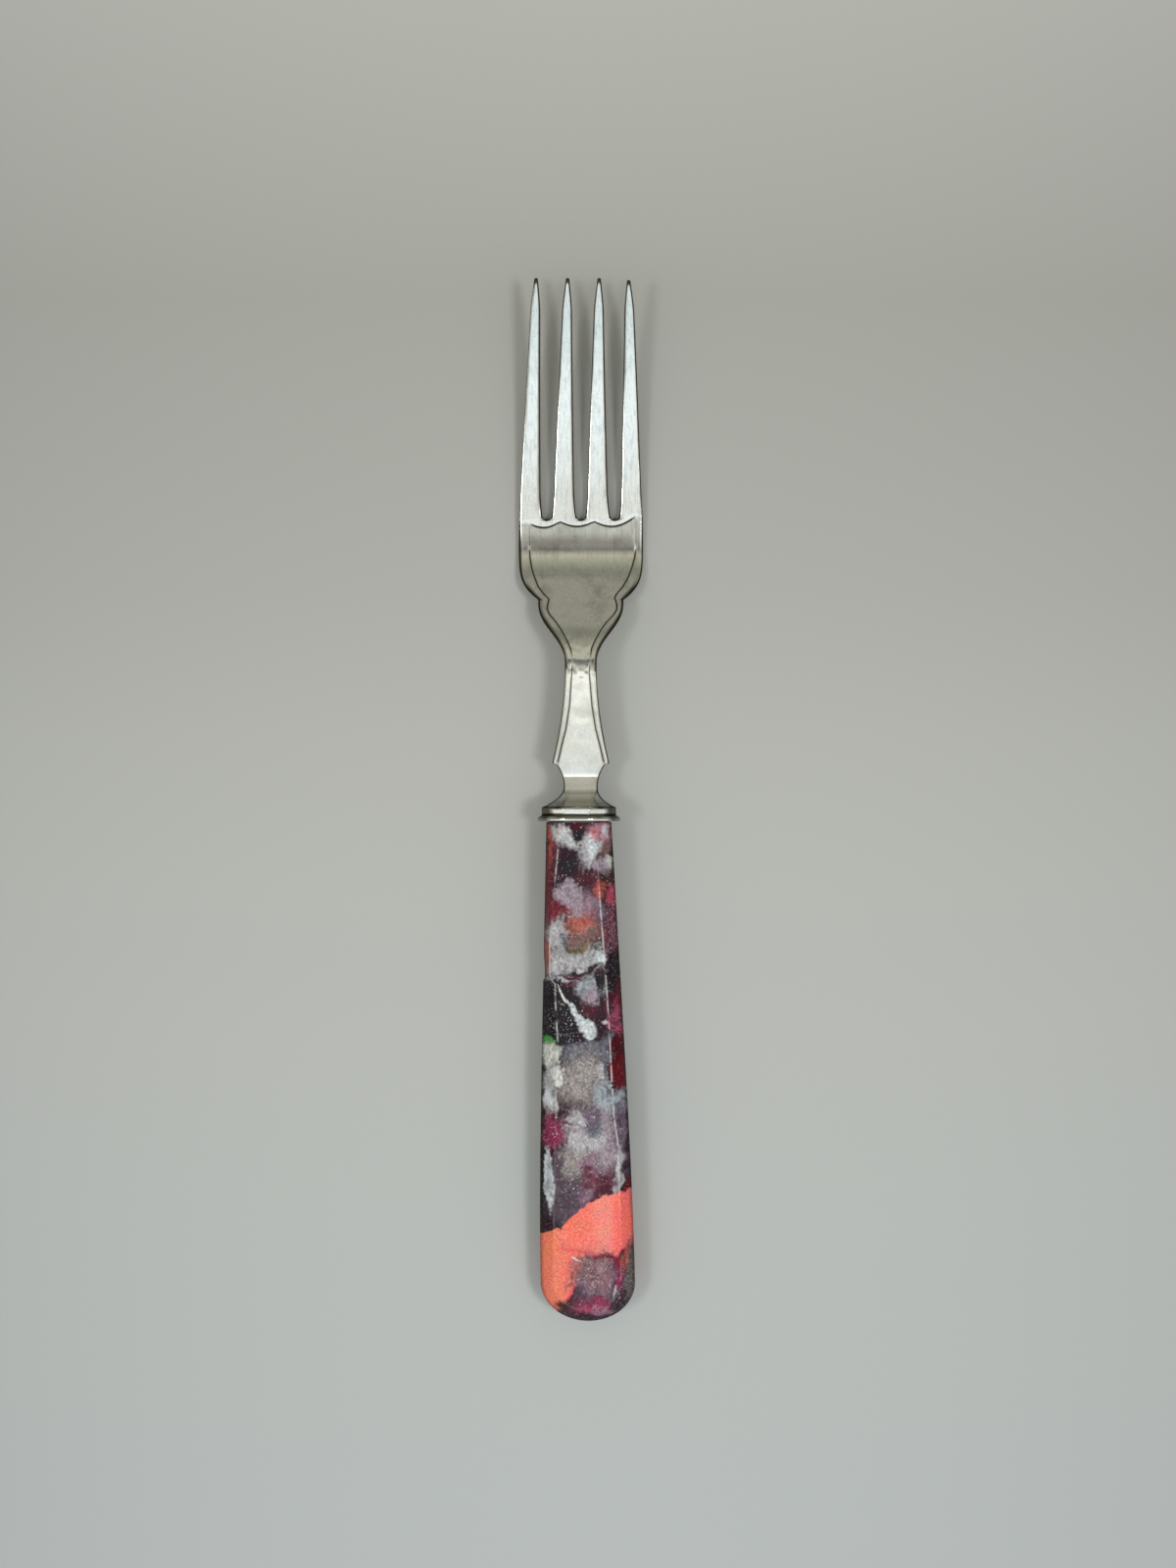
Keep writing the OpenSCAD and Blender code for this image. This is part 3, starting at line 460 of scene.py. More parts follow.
strips = [strip(i, np.minimum(crotch_y, plate_rows))[:, (i > 0):] for i in range(tine_count)]
plate_x = mix(plate(plate_rows), np.hstack(strips), soft((plate_rows - crotch_y + 5) / 4))
plate_points, plate_darkness = rings(plate_x, plate_rows)
plate_ids = np.arange(plate_darkness.size).reshape(plate_darkness.shape)
parts, tarnish_and_shade, faces, count = [plate_points], [plate_darkness], [tube(plate_ids)], plate_ids.size
bent_in, worn_off = 0.38, 0.4
for i in range(tine_count):
    points, dark = rings(strip(i, tine_rows), tine_rows)
    if i == tine_count - 1:  # the last tine is a little bent in and worn shorter at its tip
        along = np.clip((points[..., 1] - crotch_y) / tine_len, 0, 1)
        points[..., 0] -= bent_in * along ** 3
        points[..., 1] -= worn_off * along ** 4
    ids = count + np.arange(dark.size).reshape(dark.shape)
    first = i * (strip_n - 1)
    face_root = plate_ids[0, first:first + strip_n]
    back_root = plate_ids[0, 2 * plate_n - first - strip_n:2 * plate_n - first]
    parts.append(points), tarnish_and_shade.append(dark)
    faces += [tube(np.vstack([ids, np.append(face_root, back_root)])), lid(ids[0], True)]
    count += dark.size

# The tang: a round peg along the handle's axis, from the seat down into the handle
tang_r, tang_len, tilt, swing_out = 2.25, 46.35, math.radians(2), math.radians(1.1)
peg_way = np.array([math.sin(swing_out) * math.cos(tilt), -math.cos(swing_out) * math.cos(tilt), -math.sin(tilt)])
round_turns = np.pi * np.concatenate([1 - np.linspace(0, 1, plate_n), -np.linspace(0, 1, plate_n)])
seat = np.array([band_x, collar_y, seat_z])
peg_ring = np.stack([tang_r * np.cos(round_turns), 0 * round_turns, tang_r * np.sin(round_turns)], -1) + seat
peg_end = (peg_ring - seat) * 0.8 + seat + peg_way * tang_len
peg_points = np.stack([peg_ring, peg_ring + peg_way * (tang_len - 0.5), peg_end])
peg_ids = count + np.arange(peg_points[..., 0].size).reshape(peg_points.shape[:2])
parts.append(peg_points), tarnish_and_shade.append(np.zeros(peg_ids.shape))
faces += [tube(np.vstack([plate_ids[-1], peg_ids])), lid(peg_ids[-1], False)]

head_points = np.concatenate([p.reshape(-1, 3) for p in parts])
head = piece("forged_head", head_points, np.concatenate(faces))
give(head, "tarnish_and_shade", np.concatenate([t.ravel() for t in tarnish_and_shade]))
head_y = head_points[:, 1]
give(head, "brushed", np.interp(head_y, [neck_y - 1, neck_y + 3, palm_y, crotch_y], [0.1, 0.5, 0.6, 1]))
give(head, "aged", np.interp(head_y, [corner_y, neck_y - 1, neck_y + 3, palm_y, crotch_y, crotch_y + 5],
                             [0.45, 0.45, 1, 1, 0.5, 0.12]))


def lay_across(thing):
    """A UV map whose first direction runs straight across the fork, for the way the metal was ground."""
    mesh = thing.data
    spots = np.empty(len(mesh.vertices) * 3, np.float32)
    mesh.vertices.foreach_get("co", spots)
    corners = np.empty(len(mesh.loops), np.int32)
    mesh.loops.foreach_get("vertex_index", corners)
    mesh.uv_layers.new(name="across").data.foreach_set("uv", (spots.reshape(-1, 3)[corners, :2] * 10).ravel())


def finish(name, settings):
    """A new material, with its node tree, and its shader, whose sockets take the settings."""
    made = bpy.data.materials.new(name)
    made.use_nodes = True
    shader = made.node_tree.nodes["Principled BSDF"]
    for socket, value in settings.items():
        shader.inputs[socket].default_value = value
    return made, made.node_tree, shader


def stored(tree, name, kind="Fac"):
    """What a piece stores at its points under a name, as a number or as a colour."""
    node = tree.nodes.new("ShaderNodeAttribute")
    node.attribute_name = name
    return node.outputs[kind]


def sums(tree, kind, a, b, c=None, clamp=False):
    """One Math node: each value is a number or another node's socket."""
    node = tree.nodes.new("ShaderNodeMath")
    node.operation, node.use_clamp = kind, clamp
    for socket, value in zip(node.inputs, (a, b, c)):
        if isinstance(value, (int, float)):
            socket.default_value = value
        elif value is not None:
            tree.links.new(value, socket)
    return node.outputs[0]


def noise_over(tree, kind, place, turn, scale, detail, rough):
    """Noise over Object coordinates, which a Mapping node of one kind moves, turns and scales first."""
    where, laid, noise = [tree.nodes.new("ShaderNode" + name) for name in ("TexCoord", "Mapping", "TexNoise")]
    laid.vector_type = kind
    for name, value in (("Location", place), ("Rotation", (0, 0, turn)), ("Scale", scale)):
        laid.inputs[name].default_value = value
    for name, value in (("Scale", 1), ("Detail", detail), ("Roughness", rough)):
        noise.inputs[name].default_value = value
    tree.links.new(where.outputs["Object"], laid.inputs["Vector"])
    tree.links.new(laid.outputs["Vector"], noise.inputs["Vector"])
    return noise.outputs["Fac"]


def grain(tree, sizes, detail=3, rough=0.55, turn=0.0, place=(0, 0, 0)):
    """Noise whose lengths along x, y and z are given in millimetres."""
    return noise_over(tree, "POINT", place, turn, [1 / (size * mm) for size in sizes], detail, rough)


def tone(tree, value, stops):
    """A colour ramp over a value, its stops given as place and colour, or one number for a grey."""
    ramp = tree.nodes.new("ShaderNodeValToRGB")
    while len(ramp.color_ramp.elements) < len(stops):
        ramp.color_ramp.elements.new(0.5)
    for element, (place, colour) in zip(ramp.color_ramp.elements, stops):
        element.position, element.color = place, (*np.broadcast_to(colour, 3), 1)
    tree.links.new(value, ramp.inputs["Fac"])
    return ramp.outputs["Color"]


def blend(tree, kind, share, a, b):
    """One Mix node for colours: each value is a number, a colour or another node's socket."""
    node = tree.nodes.new("ShaderNodeMix")
    node.data_type, node.blend_type = "RGBA", kind
    for socket, value in ((node.inputs["Factor"], share), (node.inputs[6], a), (node.inputs[7], b)):
        if isinstance(value, (int, float)):
            socket.default_value = value
        elif isinstance(value, tuple):
            socket.default_value = (*value, 1)
        else:
            tree.links.new(value, socket)
    return node.outputs[2]


def scale_by_ramp(tree, share, colour, value, stops):
    """Multiplies a colour by a ramp over a value, by a share."""
    return blend(tree, "MULTIPLY", share, colour, tone(tree, value, stops))


def relief(tree, shader, height, strength, depth):
    """Bump from a height of 0 to 1, with its strength, and its depth in millimetres."""
    node = tree.nodes.new("ShaderNodeBump")
    node.inputs["Strength"].default_value = strength
    node.inputs["Distance"].default_value = depth * mm
    tree.links.new(height, node.inputs["Height"])
    tree.links.new(node.outputs["Normal"], shader.inputs["Normal"])


# Nickel silver, polished and then worn satin. Scratches run along it, dark tarnish stays in the cuts, and the painted
# shade and painted dark reflections stored with the tarnish darken it too.
metal, tree, shader = finish("worn_nickel_silver", {"Metallic": 1, "Anisotropic": 0.3})
dark, brushed, aged = [stored(tree, name) for name in ("tarnish_and_shade", "brushed", "aged")]
scratches = grain(tree, (0.12, 6, 0.12), 4, 0.6)
streaks = grain(tree, (0.42, 17, 0.42), 2, 0.5, 0.02)
patina = grain(tree, (5, 6, 5), 5, 0.7, 0.3, (4, 1, 2))
hairlines = grain(tree, (0.05, 2.5, 0.05), 2, 0.5, 0.05)
satin = grain(tree, (0.35, 0.5, 0.35), 3, 0.6)
blotches = grain(tree, (3.2, 4.5, 3.2), 4, 0.62)
colour = tone(tree, dark, [(0, (0.76, 0.757, 0.715)), (0.3, (0.5, 0.5, 0.46)), (0.75, (0.09, 0.08, 0.062)),
                           (1, (0.03, 0.025, 0.02))])
for share, value, stops in (
        (aged, blotches, [(0.3, (0.88, 0.87, 0.82)), (0.5, 1), (0.68, (0.92, 0.94, 0.96))]),
        (brushed, streaks, [(0.32, (0.8, 0.83, 0.86)), (0.5, 1)]),
        (aged, patina, [(0.32, (0.7, 0.69, 0.64)), (0.5, 1)]),
        (0.2, scratches, [(0.3, 0.7), (0.6, 1)]), (0.3, satin, [(0.3, 0.7), (0.65, 1)])):
    colour = scale_by_ramp(tree, share, colour, value, stops)
tree.links.new(colour, shader.inputs["Base Color"])
rough = sums(tree, "MULTIPLY_ADD", blotches, 0.08, sums(tree, "MULTIPLY_ADD", satin, 0.05, 0.05))
deep_dark = sums(tree, "MULTIPLY", dark, dark)
tree.links.new(sums(tree, "MULTIPLY_ADD", deep_dark, 0.35, rough, True), shader.inputs["Roughness"])
lines_cut = sums(tree, "MULTIPLY", brushed, sums(tree, "ADD", scratches, hairlines))
relief(tree, shader, sums(tree, "MULTIPLY_ADD", satin, 0.8, lines_cut), 0.07, 0.02)
ground = tree.nodes.new("ShaderNodeTangent")
ground.direction_type, ground.uv_map = "UV_MAP", "across"
tree.links.new(ground.outputs["Tangent"], shader.inputs["Tangent"])
lay_across(head)
head.data.materials.append(metal)
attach(head, "root")
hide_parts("head")


# The collar: a thin plate of the same metal, its rim turned over into a bead. It closes the handle's end, and the
# tang passes through it. Its outline repeats the flats that are filed on the head's band.
collar_r, collar_h, bore_r = 8, 6.1, 2.35
low_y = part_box("collar")[0].y / mm
outline = np.array([[-1, -0.42], [-1, 0.42], [-0.79, 0.76], [-0.41, 0.97], [0.26, 1], [0.83, 0.75], [1, 0.42],
                    [1, -0.42], [0.8, -0.78], [0.35, -1], [-0.35, -1], [-0.8, -0.78], [-1, -0.42]])


def walk(corners, count, softening):
    """Evenly spaced points along a closed line of straight pieces, each the mean of its neighbours."""
    steps = np.append(0, np.cumsum(np.hypot(*np.diff(corners, axis=0).T)))
    at = np.linspace(0, steps[-1], count, endpoint=False)
    line = np.stack([np.interp(at, steps, corners[:, 0]), np.interp(at, steps, corners[:, 1])], -1)
    return np.mean([np.roll(line, k, 0) for k in range(-softening, softening + 1)], 0)


# The bead's section: shares of the collar's height from the top down, and how far each lies inside the outline
bead_y = np.array([0, 0.02, 0.08, 0.2, 0.33, 0.45, 0.54, 0.62, 0.7, 0.78, 0.86, 0.94, 1])
bead_in = np.array([1.1, 0.72, 0.62, 0.44, 0.25, 0.09, 0.02, 0, 0.008, 0.026, 0.06, 0.18, 0.45])
rim = walk(outline, 156, 4)
rim_way = rim / np.linalg.norm(rim, axis=1, keepdims=True)
bead = rim[None] * [collar_r, collar_h] - rim_way[None] * bead_in[:, None, None]
rim_xz = np.concatenate([bead, bore_r * np.stack([rim_way, rim_way])])
rim_y = collar_y - np.append(bead_y, [1, 0])[:, None] * (collar_y - low_y) + 0 * rim_xz[..., 0]
collar_points = np.stack([band_x + rim_xz[..., 0], rim_y, seat_z + rim_xz[..., 1]], -1)
collar_ids = np.arange(rim_y.size).reshape(rim_y.shape)
collar = piece("beaded_collar", collar_points.reshape(-1, 3), tube(np.vstack([collar_ids, collar_ids[:1]])), 50)
# Painted reflection and shade: the bead is darker at its top, bright at its lower edge and darker at its ends; the
# bore's rings are dark
bead_shade = np.append(np.interp(bead_y, [0, 0.12, 0.4, 0.56, 1], [0.9, 0.5, 0.35, 0.03, 0.03]), [1, 1])[:, None]
give(collar, "tarnish_and_shade", np.clip(bead_shade + 0.5 * soft((np.abs(rim_xz[..., 0]) - 5.2) / 1.5), 0, 1))
lay_across(collar)
collar.data.materials.append(metal)
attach(collar, "root")
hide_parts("collar")


# The adhesive: dark epoxy resin that beds the collar on the handle and fills the socket round the tang. Its CAD
# solid stays, because only a thin dark line of it shows between the collar and the handle.
resin, tree, shader = finish("dark_resin", {"Roughness": 0.35})
browns = [(0.3, (0.02, 0.012, 0.012)), (0.6, (0.045, 0.025, 0.022)), (0.8, (0.1, 0.07, 0.06))]
tree.links.new(tone(tree, grain(tree, (0.8, 0.8, 0.8)), browns), shader.inputs["Base Color"])
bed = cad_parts["adhesive"]
bed.data.materials.clear()
bed.data.materials.append(resin)


# The handle: chips of recycled plastic pressed into one marbled block, sawn and ground to a flat grip with slanted
# facets and a round end, drilled for the tang and rubbed to a soft gloss. The facets' ridges are scuffed white.
top_y, butt_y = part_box("handle")[1].y / mm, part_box("handle")[0].y / mm
grip_t, end_round, slack = 10.5, 7.6, 0.06
top_w, end_w = 12.5, 18.25
bevel_y = [-96, -90.8, -71.9, -45.1, -41.3, -34.9, -34, -32.8, -26.6, -19.1, -9.7, -4]
bevel_left = [2.6, 2.6, 2.84, 2.98, 2.65, 2.3, 1.5, 1.2, 1.15, 1.6, 2.3, 2.6]
bevel_right_y = [-94.6, -88.1, -65.6, -60.1, -50.3, -42.4, -32.8, -18.7, -9.7, -4]
bevel_right = [2.9, 2.56, 2.3, 2.8, 2.81, 2.75, 2.83, 3.1, 3.1, 2.85]
bevel_shares, bevel_falls, blunt = [0, 0.08, 0.5, 1], [3.25, 2.61, 1.22, 0], 0.22


def grip_half(y):
    """Half the grip's width: it widens along nearly straight sides to the butt, which is half an ellipse."""
    t = np.clip((top_y - y) / (top_y - butt_y - end_round), 0, 1)
    side = mix(top_w, end_w, t * (1.24 - 0.24 * t ** 4)) / 2
    return side * np.sqrt(1 - np.clip(1 - (y - butt_y) / end_round, 0, 1) ** 2)


def grip_middle(y):
    """Place across of the grip's middle line, which leans to the right on its way to the butt."""
    return band_x + (top_y - y) * math.tan(swing_out)


def grip_level(y):
    """Height of the grip's middle plane, which falls towards the butt."""
    return seat_z - (top_y - y) * math.tan(tilt)


def bevel_fall(d, width):
    """How far the facets lie under the flat at a distance d from the edge: two slants, blunted where they meet."""
    slants = lambda at: np.interp(at / width, bevel_shares, bevel_falls)
    return (slants(d) + slants(np.maximum(d - blunt, 0)) + slants(d + blunt)) / 3


def down_grip(start, count, turns):
    """Heights down the grip: even steps to the round end, then those of a quarter circle at the turns, in degrees."""
    return np.concatenate([np.linspace(start, butt_y + end_round, count),
                           butt_y + end_round * (1 - np.sin(np.radians(turns)))])


across_n, wall_n, under_n = 104, 18, 36
grip_rows = down_grip(top_y, 480, np.linspace(2, 88.5, 40))[:, None]
half, centre = grip_half(grip_rows), grip_middle(grip_rows)
edge_y = down_grip(top_y + 4, 300, np.linspace(1, 90, 120))
edge_points = np.concatenate([np.stack([grip_middle(edge_y) + side * grip_half(edge_y), edge_y], -1)
                              for side in (-1, 1)])


def inset(x, y):
    """Shortest distance to the grip's outline, worked out for one row after another."""
    return np.stack([np.sqrt(((np.stack([row_x, row_y], -1)[:, None] - edge_points[None]) ** 2).sum(-1)).min(1)
                     for row_x, row_y in zip(x, y)])


def grip_face(count, side):
    """One face of the grip, from the left edge to the right: flat, with its facets falling to the edges."""
    x = centre + half * np.linspace(-1, 1, count)[None]
    y = grip_rows + 0 * x
    width = np.where(x < centre, np.interp(y, bevel_y, bevel_left), np.interp(y, bevel_right_y, bevel_right))
    d = inset(x, y)
    hollow = 0.03 * ripple((x, y), 9, 21) + 0.012 * ripple((x, y), 2.5, 22)
    height = grip_t / 2 - bevel_fall(d, width) - slack + hollow * np.clip(d / 2, 0, 1) * 0.8
    return np.stack([x, y, grip_level(y) + side * height], -1), d, width


front, front_d, front_w = grip_face(across_n, 1)
under, under_d, under_w = grip_face(under_n, -1)
wall_share = np.linspace(0, 1, wall_n + 2)[None, 1:-1]


def wall(end, sign):
    """One side of the grip, straight down between the edges of its two faces."""
    return np.stack([centre + sign * half + 0 * wall_share, grip_rows + 0 * wall_share,
                     mix(front[:, [end], 2], under[:, [end], 2], wall_share)], -1)


grip_points = np.concatenate([front, wall(-1, 1), under[:, ::-1], wall(0, -1)[:, ::-1]], 1)
px, py, pz = np.moveaxis(grip_points, -1, 0)

# The dent in the left edge, where the facet was ground twice
dent_low, dent_high, dent_depth = -34.6, -28, 0.3
px += dent_depth * soft((py - dent_low) / 0.5) * soft((dent_high - py) / 5) * soft((centre - px) / half * 4 - 3)

# The plastic's colours, and its chips: colour, place, half width and half length, then, where they aren't 0.5 and 0,
# the softness of the edge and the turn in degrees
plastic = {
    "white": (0.52, 0.56, 0.59), "pearl": (0.46, 0.43, 0.45), "pale": (0.4, 0.385, 0.41), "bone": (0.48, 0.51, 0.45),
    "cream": (0.56, 0.56, 0.53), "lilac": (0.28, 0.22, 0.265), "mauve": (0.13, 0.09, 0.13), "grey": (0.29, 0.29, 0.3),
    "grey_dark": (0.1, 0.082, 0.082), "steel": (0.3, 0.33, 0.37), "slate": (0.12, 0.12, 0.15),
    "beige": (0.285, 0.255, 0.245), "olive": (0.1, 0.075, 0.03), "ochre": (0.2, 0.12, 0.05),
    "umber": (0.045, 0.02, 0.02), "plum": (0.024, 0.007, 0.014), "ink": (0.011, 0.009, 0.013),
    "wine": (0.065, 0.011, 0.022), "red": (0.11, 0.004, 0.01), "blood": (0.06, 0.003, 0.008),
    "crimson": (0.15, 0.01, 0.026), "berry": (0.22, 0.02, 0.07), "heather": (0.13, 0.035, 0.058),
    "dusk": (0.24, 0.135, 0.19), "dusk_dark": (0.075, 0.05, 0.068), "mulberry": (0.24, 0.12, 0.15),
    "pink": (0.45, 0.2, 0.25), "taupe": (0.17, 0.095, 0.09), "rust": (0.34, 0.06, 0.045), "rose": (0.38, 0.05, 0.1),
    "magenta": (0.29, 0.042, 0.1), "rose_grey": (0.25, 0.12, 0.18), "brick": (0.38, 0.085, 0.065),
    "salmon": (0.38, 0.12, 0.09), "green": (0.05, 0.25, 0.05), "coral": (0.8, 0.155, 0.112)}
chips = [
    ("plum", -2.9, -13.5, 7.5, 8.4), ("umber", 5.1, -11.6, 2.2, 7.5), ("rust", -6.1, -8.8, 0.8, 4.4),
    ("wine", 1.2, -14.6, 2.6, 1.7, 0.6), ("heather", -4.9, -10.5, 0.9, 3.2, 0.6), ("pink", 3.6, -6.2, 2.3, 2.2, 0.6),
    ("pearl", -2.9, -6.8, 3, 1.5, 0.45, -42), ("white", -2.2, -7.4, 1.6, 0.9, 0.5, -42),
    ("blood", -0.5, -4.9, 1.2, 0.9, 0.4), ("ink", -0.9, -6.4, 0.9, 0.7, 0.4, -20), ("brick", 3, -5.7, 0.6, 0.6),
    ("pale", 4.6, -5.7, 0.7, 0.9, 0.5, 20), ("taupe", 4.6, -8.8, 1.2, 1.6), ("pale", 1.2, -7.6, 1.3, 1.1),
    ("pale", 1.6, -9.7, 1.6, 2.8, 0.35, -22), ("white", 2, -9, 0.7, 1.9, 0.5, -22),
    ("lilac", 4.7, -11.8, 0.9, 1.3, 0.45), ("bone", 5.1, -11.5, 0.5, 0.8), ("lilac", 3.1, -12.3, 1.7, 0.9, 0.5, -30),
    ("plum", -2.6, -12.3, 2.3, 2.3, 0.6), ("ink", -2.4, -12, 1.4, 1.5, 0.7),
    ("lilac", -2.2, -18.9, 2.2, 3.4, 0.3, 22), ("lilac", -3.8, -18, 1.7, 1.1, 0.35, -30),
    ("lilac", -2, -16.3, 0.9, 1.9, 0.3, 10), ("lilac", -0.5, -20, 2.2, 2.1, 0.5, -35),
    ("dusk", 2.2, -19.7, 1.9, 2.4, 0.7), ("brick", 6.6, -18.4, 1.1, 1.3, 0.8), ("rose", 6.1, -18.6, 1, 2, 0.6),
    ("rust", 3.6, -16.6, 1, 1, 0.6), ("crimson", -5.3, -20.6, 1.7, 2.4, 0.35, -20),
    ("crimson", -3.5, -21, 1.5, 1.1, 0.4, -30), ("crimson", -6.7, -17.6, 0.9, 5.2),
    ("heather", -6.4, -24, 0.9, 2.4, 0.6), ("heather", 5.8, -25.2, 1.8, 5.4), ("mauve", 3.6, -21.6, 0.9, 2.2, 0.6),
    ("grey", -1.2, -30, 5.3, 3.8, 0.35), ("grey", -4.2, -24.7, 1.9, 2.6, 0.35), ("pale", -4.6, -26, 1.3, 1.5),
    ("salmon", 0.6, -24, 2.8, 2.2, 0.7, -10), ("brick", 0.6, -22.9, 1.5, 1, 0.7, -10),
    ("taupe", 2.4, -24.9, 1.4, 1.4, 0.7), ("taupe", -0.8, -26.8, 2.1, 1.5, 0.6),
    ("slate", -3.2, -27, 0.6, 1.5, 0.5, 32), ("olive", -1.1, -28.7, 1.7, 0.6, 0.5, -6),
    ("olive", -2.2, -28.2, 0.9, 0.7, 0.5, -30), ("ochre", 0.9, -27.8, 0.6, 1.3, 0.5, -38),
    ("white", 3.5, -30.2, 1.1, 1.7), ("pale", -1.2, -31.1, 2.6, 0.9, 0.6), ("pale", -5, -31.3, 1.1, 2.3),
    ("rust", -6.6, -29.6, 0.7, 3.8), ("plum", 2.2, -31.9, 1.7, 0.8, 0.35, 25),
    ("plum", -0.5, -32.8, 2.6, 0.4, 0.35, 10), ("ink", 6.5, -32.1, 1.3, 4.1, 0.35),
    ("red", 7.4, -37.5, 0.8, 3.4, 0.4), ("wine", -2.4, -34.5, 3, 1.2, 0.25, 2),
    ("wine", -0.5, -33.9, 1.3, 0.9, 0.3, 20), ("pale", -4.2, -34.1, 2.6, 0.4, 0.4, -6),
    ("steel", 2.2, -36.2, 2.8, 2.6, 0.35, -30), ("ink", 3.7, -34.9, 0.9, 1.9, 0.4),
    ("lilac", 2.2, -37.1, 1.7, 1.3, 0.5, -30), ("ink", -3.9, -42, 3.6, 6.6, 0.18, 4),
    ("ink", -5, -37.9, 2.3, 4.1, 0.25), ("wine", 2.5, -40, 2.4, 1.7, 0.35, -25), ("plum", 3.8, -41.7, 1.1, 1.7),
    ("plum", 4.2, -38.5, 0.9, 1.7), ("slate", -0.1, -47.9, 3.8, 1.5), ("slate", 2.3, -46.9, 1.7, 1.3),
    ("beige", 0.6, -51.1, 3.4, 2.6, 0.7), ("beige", -0.5, -54.5, 3.9, 3.2, 0.8),
    ("green", -6, -45.6, 1.2, 0.8, 0.3, -15), ("bone", -5.6, -49.2, 1.7, 3, 0.3, 8),
    ("pale", -5, -52.4, 1.5, 2.6, 0.35), ("grey", -5.7, -53.5, 1.5, 2.3), ("cream", -4.6, -52.8, 1, 2.2, 0.25, 10),
    ("cream", -5.9, -48.3, 0.8, 1.6, 0.4), ("magenta", 6.7, -42.4, 1.5, 3.6, 0.3, 6),
    ("wine", 5.4, -38.6, 0.9, 2.2, 0.4), ("ink", 4.9, -48.2, 0.6, 1.9, 0.3, -8),
    ("red", 7.4, -50.3, 1.7, 5.4, 0.3, 6), ("blood", 6.7, -47.2, 1.1, 3, 0.6),
    ("slate", 4.8, -48.4, 0.9, 3.8, 0.35, -3), ("pale", 3.8, -51.5, 0.8, 1.5, 0.4),
    ("steel", 4.4, -57.1, 1.9, 3.8, 0.45), ("steel", 7.6, -57.5, 1.7, 2.3, 0.4),
    ("slate", 5.5, -55.4, 1.9, 0.4, 0.6, -30), ("slate", 7, -58.8, 1.5, 0.8, 0.4, -20),
    ("pale", -5.9, -57.7, 1.1, 2.8, 0.4), ("white", -6.1, -56.7, 0.6, 1.9, 0.4), ("lilac", 2, -63.3, 5.6, 4.5, 0.4),
    ("pale", 0.6, -65.2, 3.4, 2.3), ("slate", 2.5, -62, 1.9, 2.1), ("mauve", 2.2, -60.7, 1.3, 1.5),
    ("pale", -0.5, -61.1, 1.7, 1.1), ("pale", 3.7, -65.4, 1.9, 1.5), ("berry", -5.6, -63.6, 2.1, 3.1, 0.4, -6),
    ("heather", -2.9, -61.7, 1.5, 0.6, 0.6, -10), ("pale", -2, -62.4, 1.1, 0.4, 0.4, -10),
    ("mauve", 8.4, -64.3, 1.3, 6.8, 0.4), ("plum", 9.3, -64.3, 0.7, 7.5, 0.4), ("beige", -1.4, -70, 3.2, 3.4, 0.45),
    ("mauve", -1.6, -76.6, 3.4, 4.1, 0.45), ("dusk", 1.4, -70, 1.7, 2.3, 0.6), ("lilac", 5, -68.6, 2.4, 2.6, 0.6),
    ("pale", 7.5, -69.2, 0.6, 3.4), ("pale", 7.2, -73.2, 0.5, 1.6), ("heather", 3.4, -73.2, 3, 2.6, 0.6, 20),
    ("wine", 4.2, -72.6, 1.2, 1.1, 0.6, 30), ("heather", 1.8, -71.4, 1.3, 1, 0.7, 30),
    ("wine", 4.8, -74.7, 2.2, 0.7, 0.5, 22), ("dusk", 0.8, -75.9, 1.9, 1.2, 0.6, 35),
    ("dusk_dark", -3.8, -76.6, 3.6, 5.6, 0.6), ("ink", -7.5, -76, 0.8, 9), ("dusk_dark", -4.4, -70.2, 0.8, 3.4, 0.6),
    ("plum", -6.4, -81.3, 1.9, 1.6, 0.5, 10), ("red", 9, -73.3, 0.7, 1.6, 0.4)]
crisp_chips = [
    ("cream", -3.2, -37.4, 0.25, 2.3, 0.2, 32), ("white", -1.3, -40.1, 0.55, 1.7, 0.2, 30),
    ("white", 0, -42, 0.9, 1.7, 0.2, 33), ("white", 1.3, -43.4, 1.45, 1.9, 0.2, 40),
    ("white", 1.9, -44.6, 1.2, 1, 0.3, 20), ("pearl", 4.6, -42.3, 0.6, 0.35, 0.3, 10),
    ("white", -6.1, -72.6, 0.88, 5.8, 0.15, 3), ("steel", -6.1, -73.6, 0.5, 2, 0.9),
    ("steel", -6, -69.9, 0.4, 1.2, 0.9)]
end_chips = [
    ("mauve", 3.1, -91.9, 4.6, 4.9), ("taupe", 2.6, -88.4, 2.6, 1.3, 0.7, -8),
    ("taupe", 1.4, -90.2, 2.2, 2.1, 0.8, -20), ("mulberry", 3.6, -91.4, 2.8, 3, 0.9),
    ("crimson", 5.6, -87.6, 3, 0.5, 0.6, -10), ("crimson", 7.3, -88.6, 0.7, 1.6, 0.6, 20),
    ("berry", 7.6, -91.4, 0.8, 2.6, 0.6), ("grey_dark", 9.6, -91.2, 1.3, 6.2), ("brick", 8.7, -88, 0.8, 1.8, 0.6),
    ("heather", 1, -96.9, 3.9, 1.6, 0.7, 6), ("berry", 2.4, -96.9, 2.6, 1.3, 0.6),
    ("magenta", 2.6, -97.4, 2.6, 1, 0.6, 8), ("rose_grey", 4.4, -98.4, 1.9, 0.7, 0.6),
    ("umber", -3.3, -97, 1.5, 1.1, 0.6, 30), ("pearl", 7.1, -94.2, 0.15, 0.9, 0.3, -25),
    ("white", -0.8, -88.1, 1, 0.13, 0.3, -32)]
band_top = np.array([[-10.5, -84], [-7.83, -83.21], [-3.74, -81.88], [-1.8, -80.12], [0.18, -78.1], [2.91, -76.58],
                     [6.03, -75.41], [9.87, -74.62]])
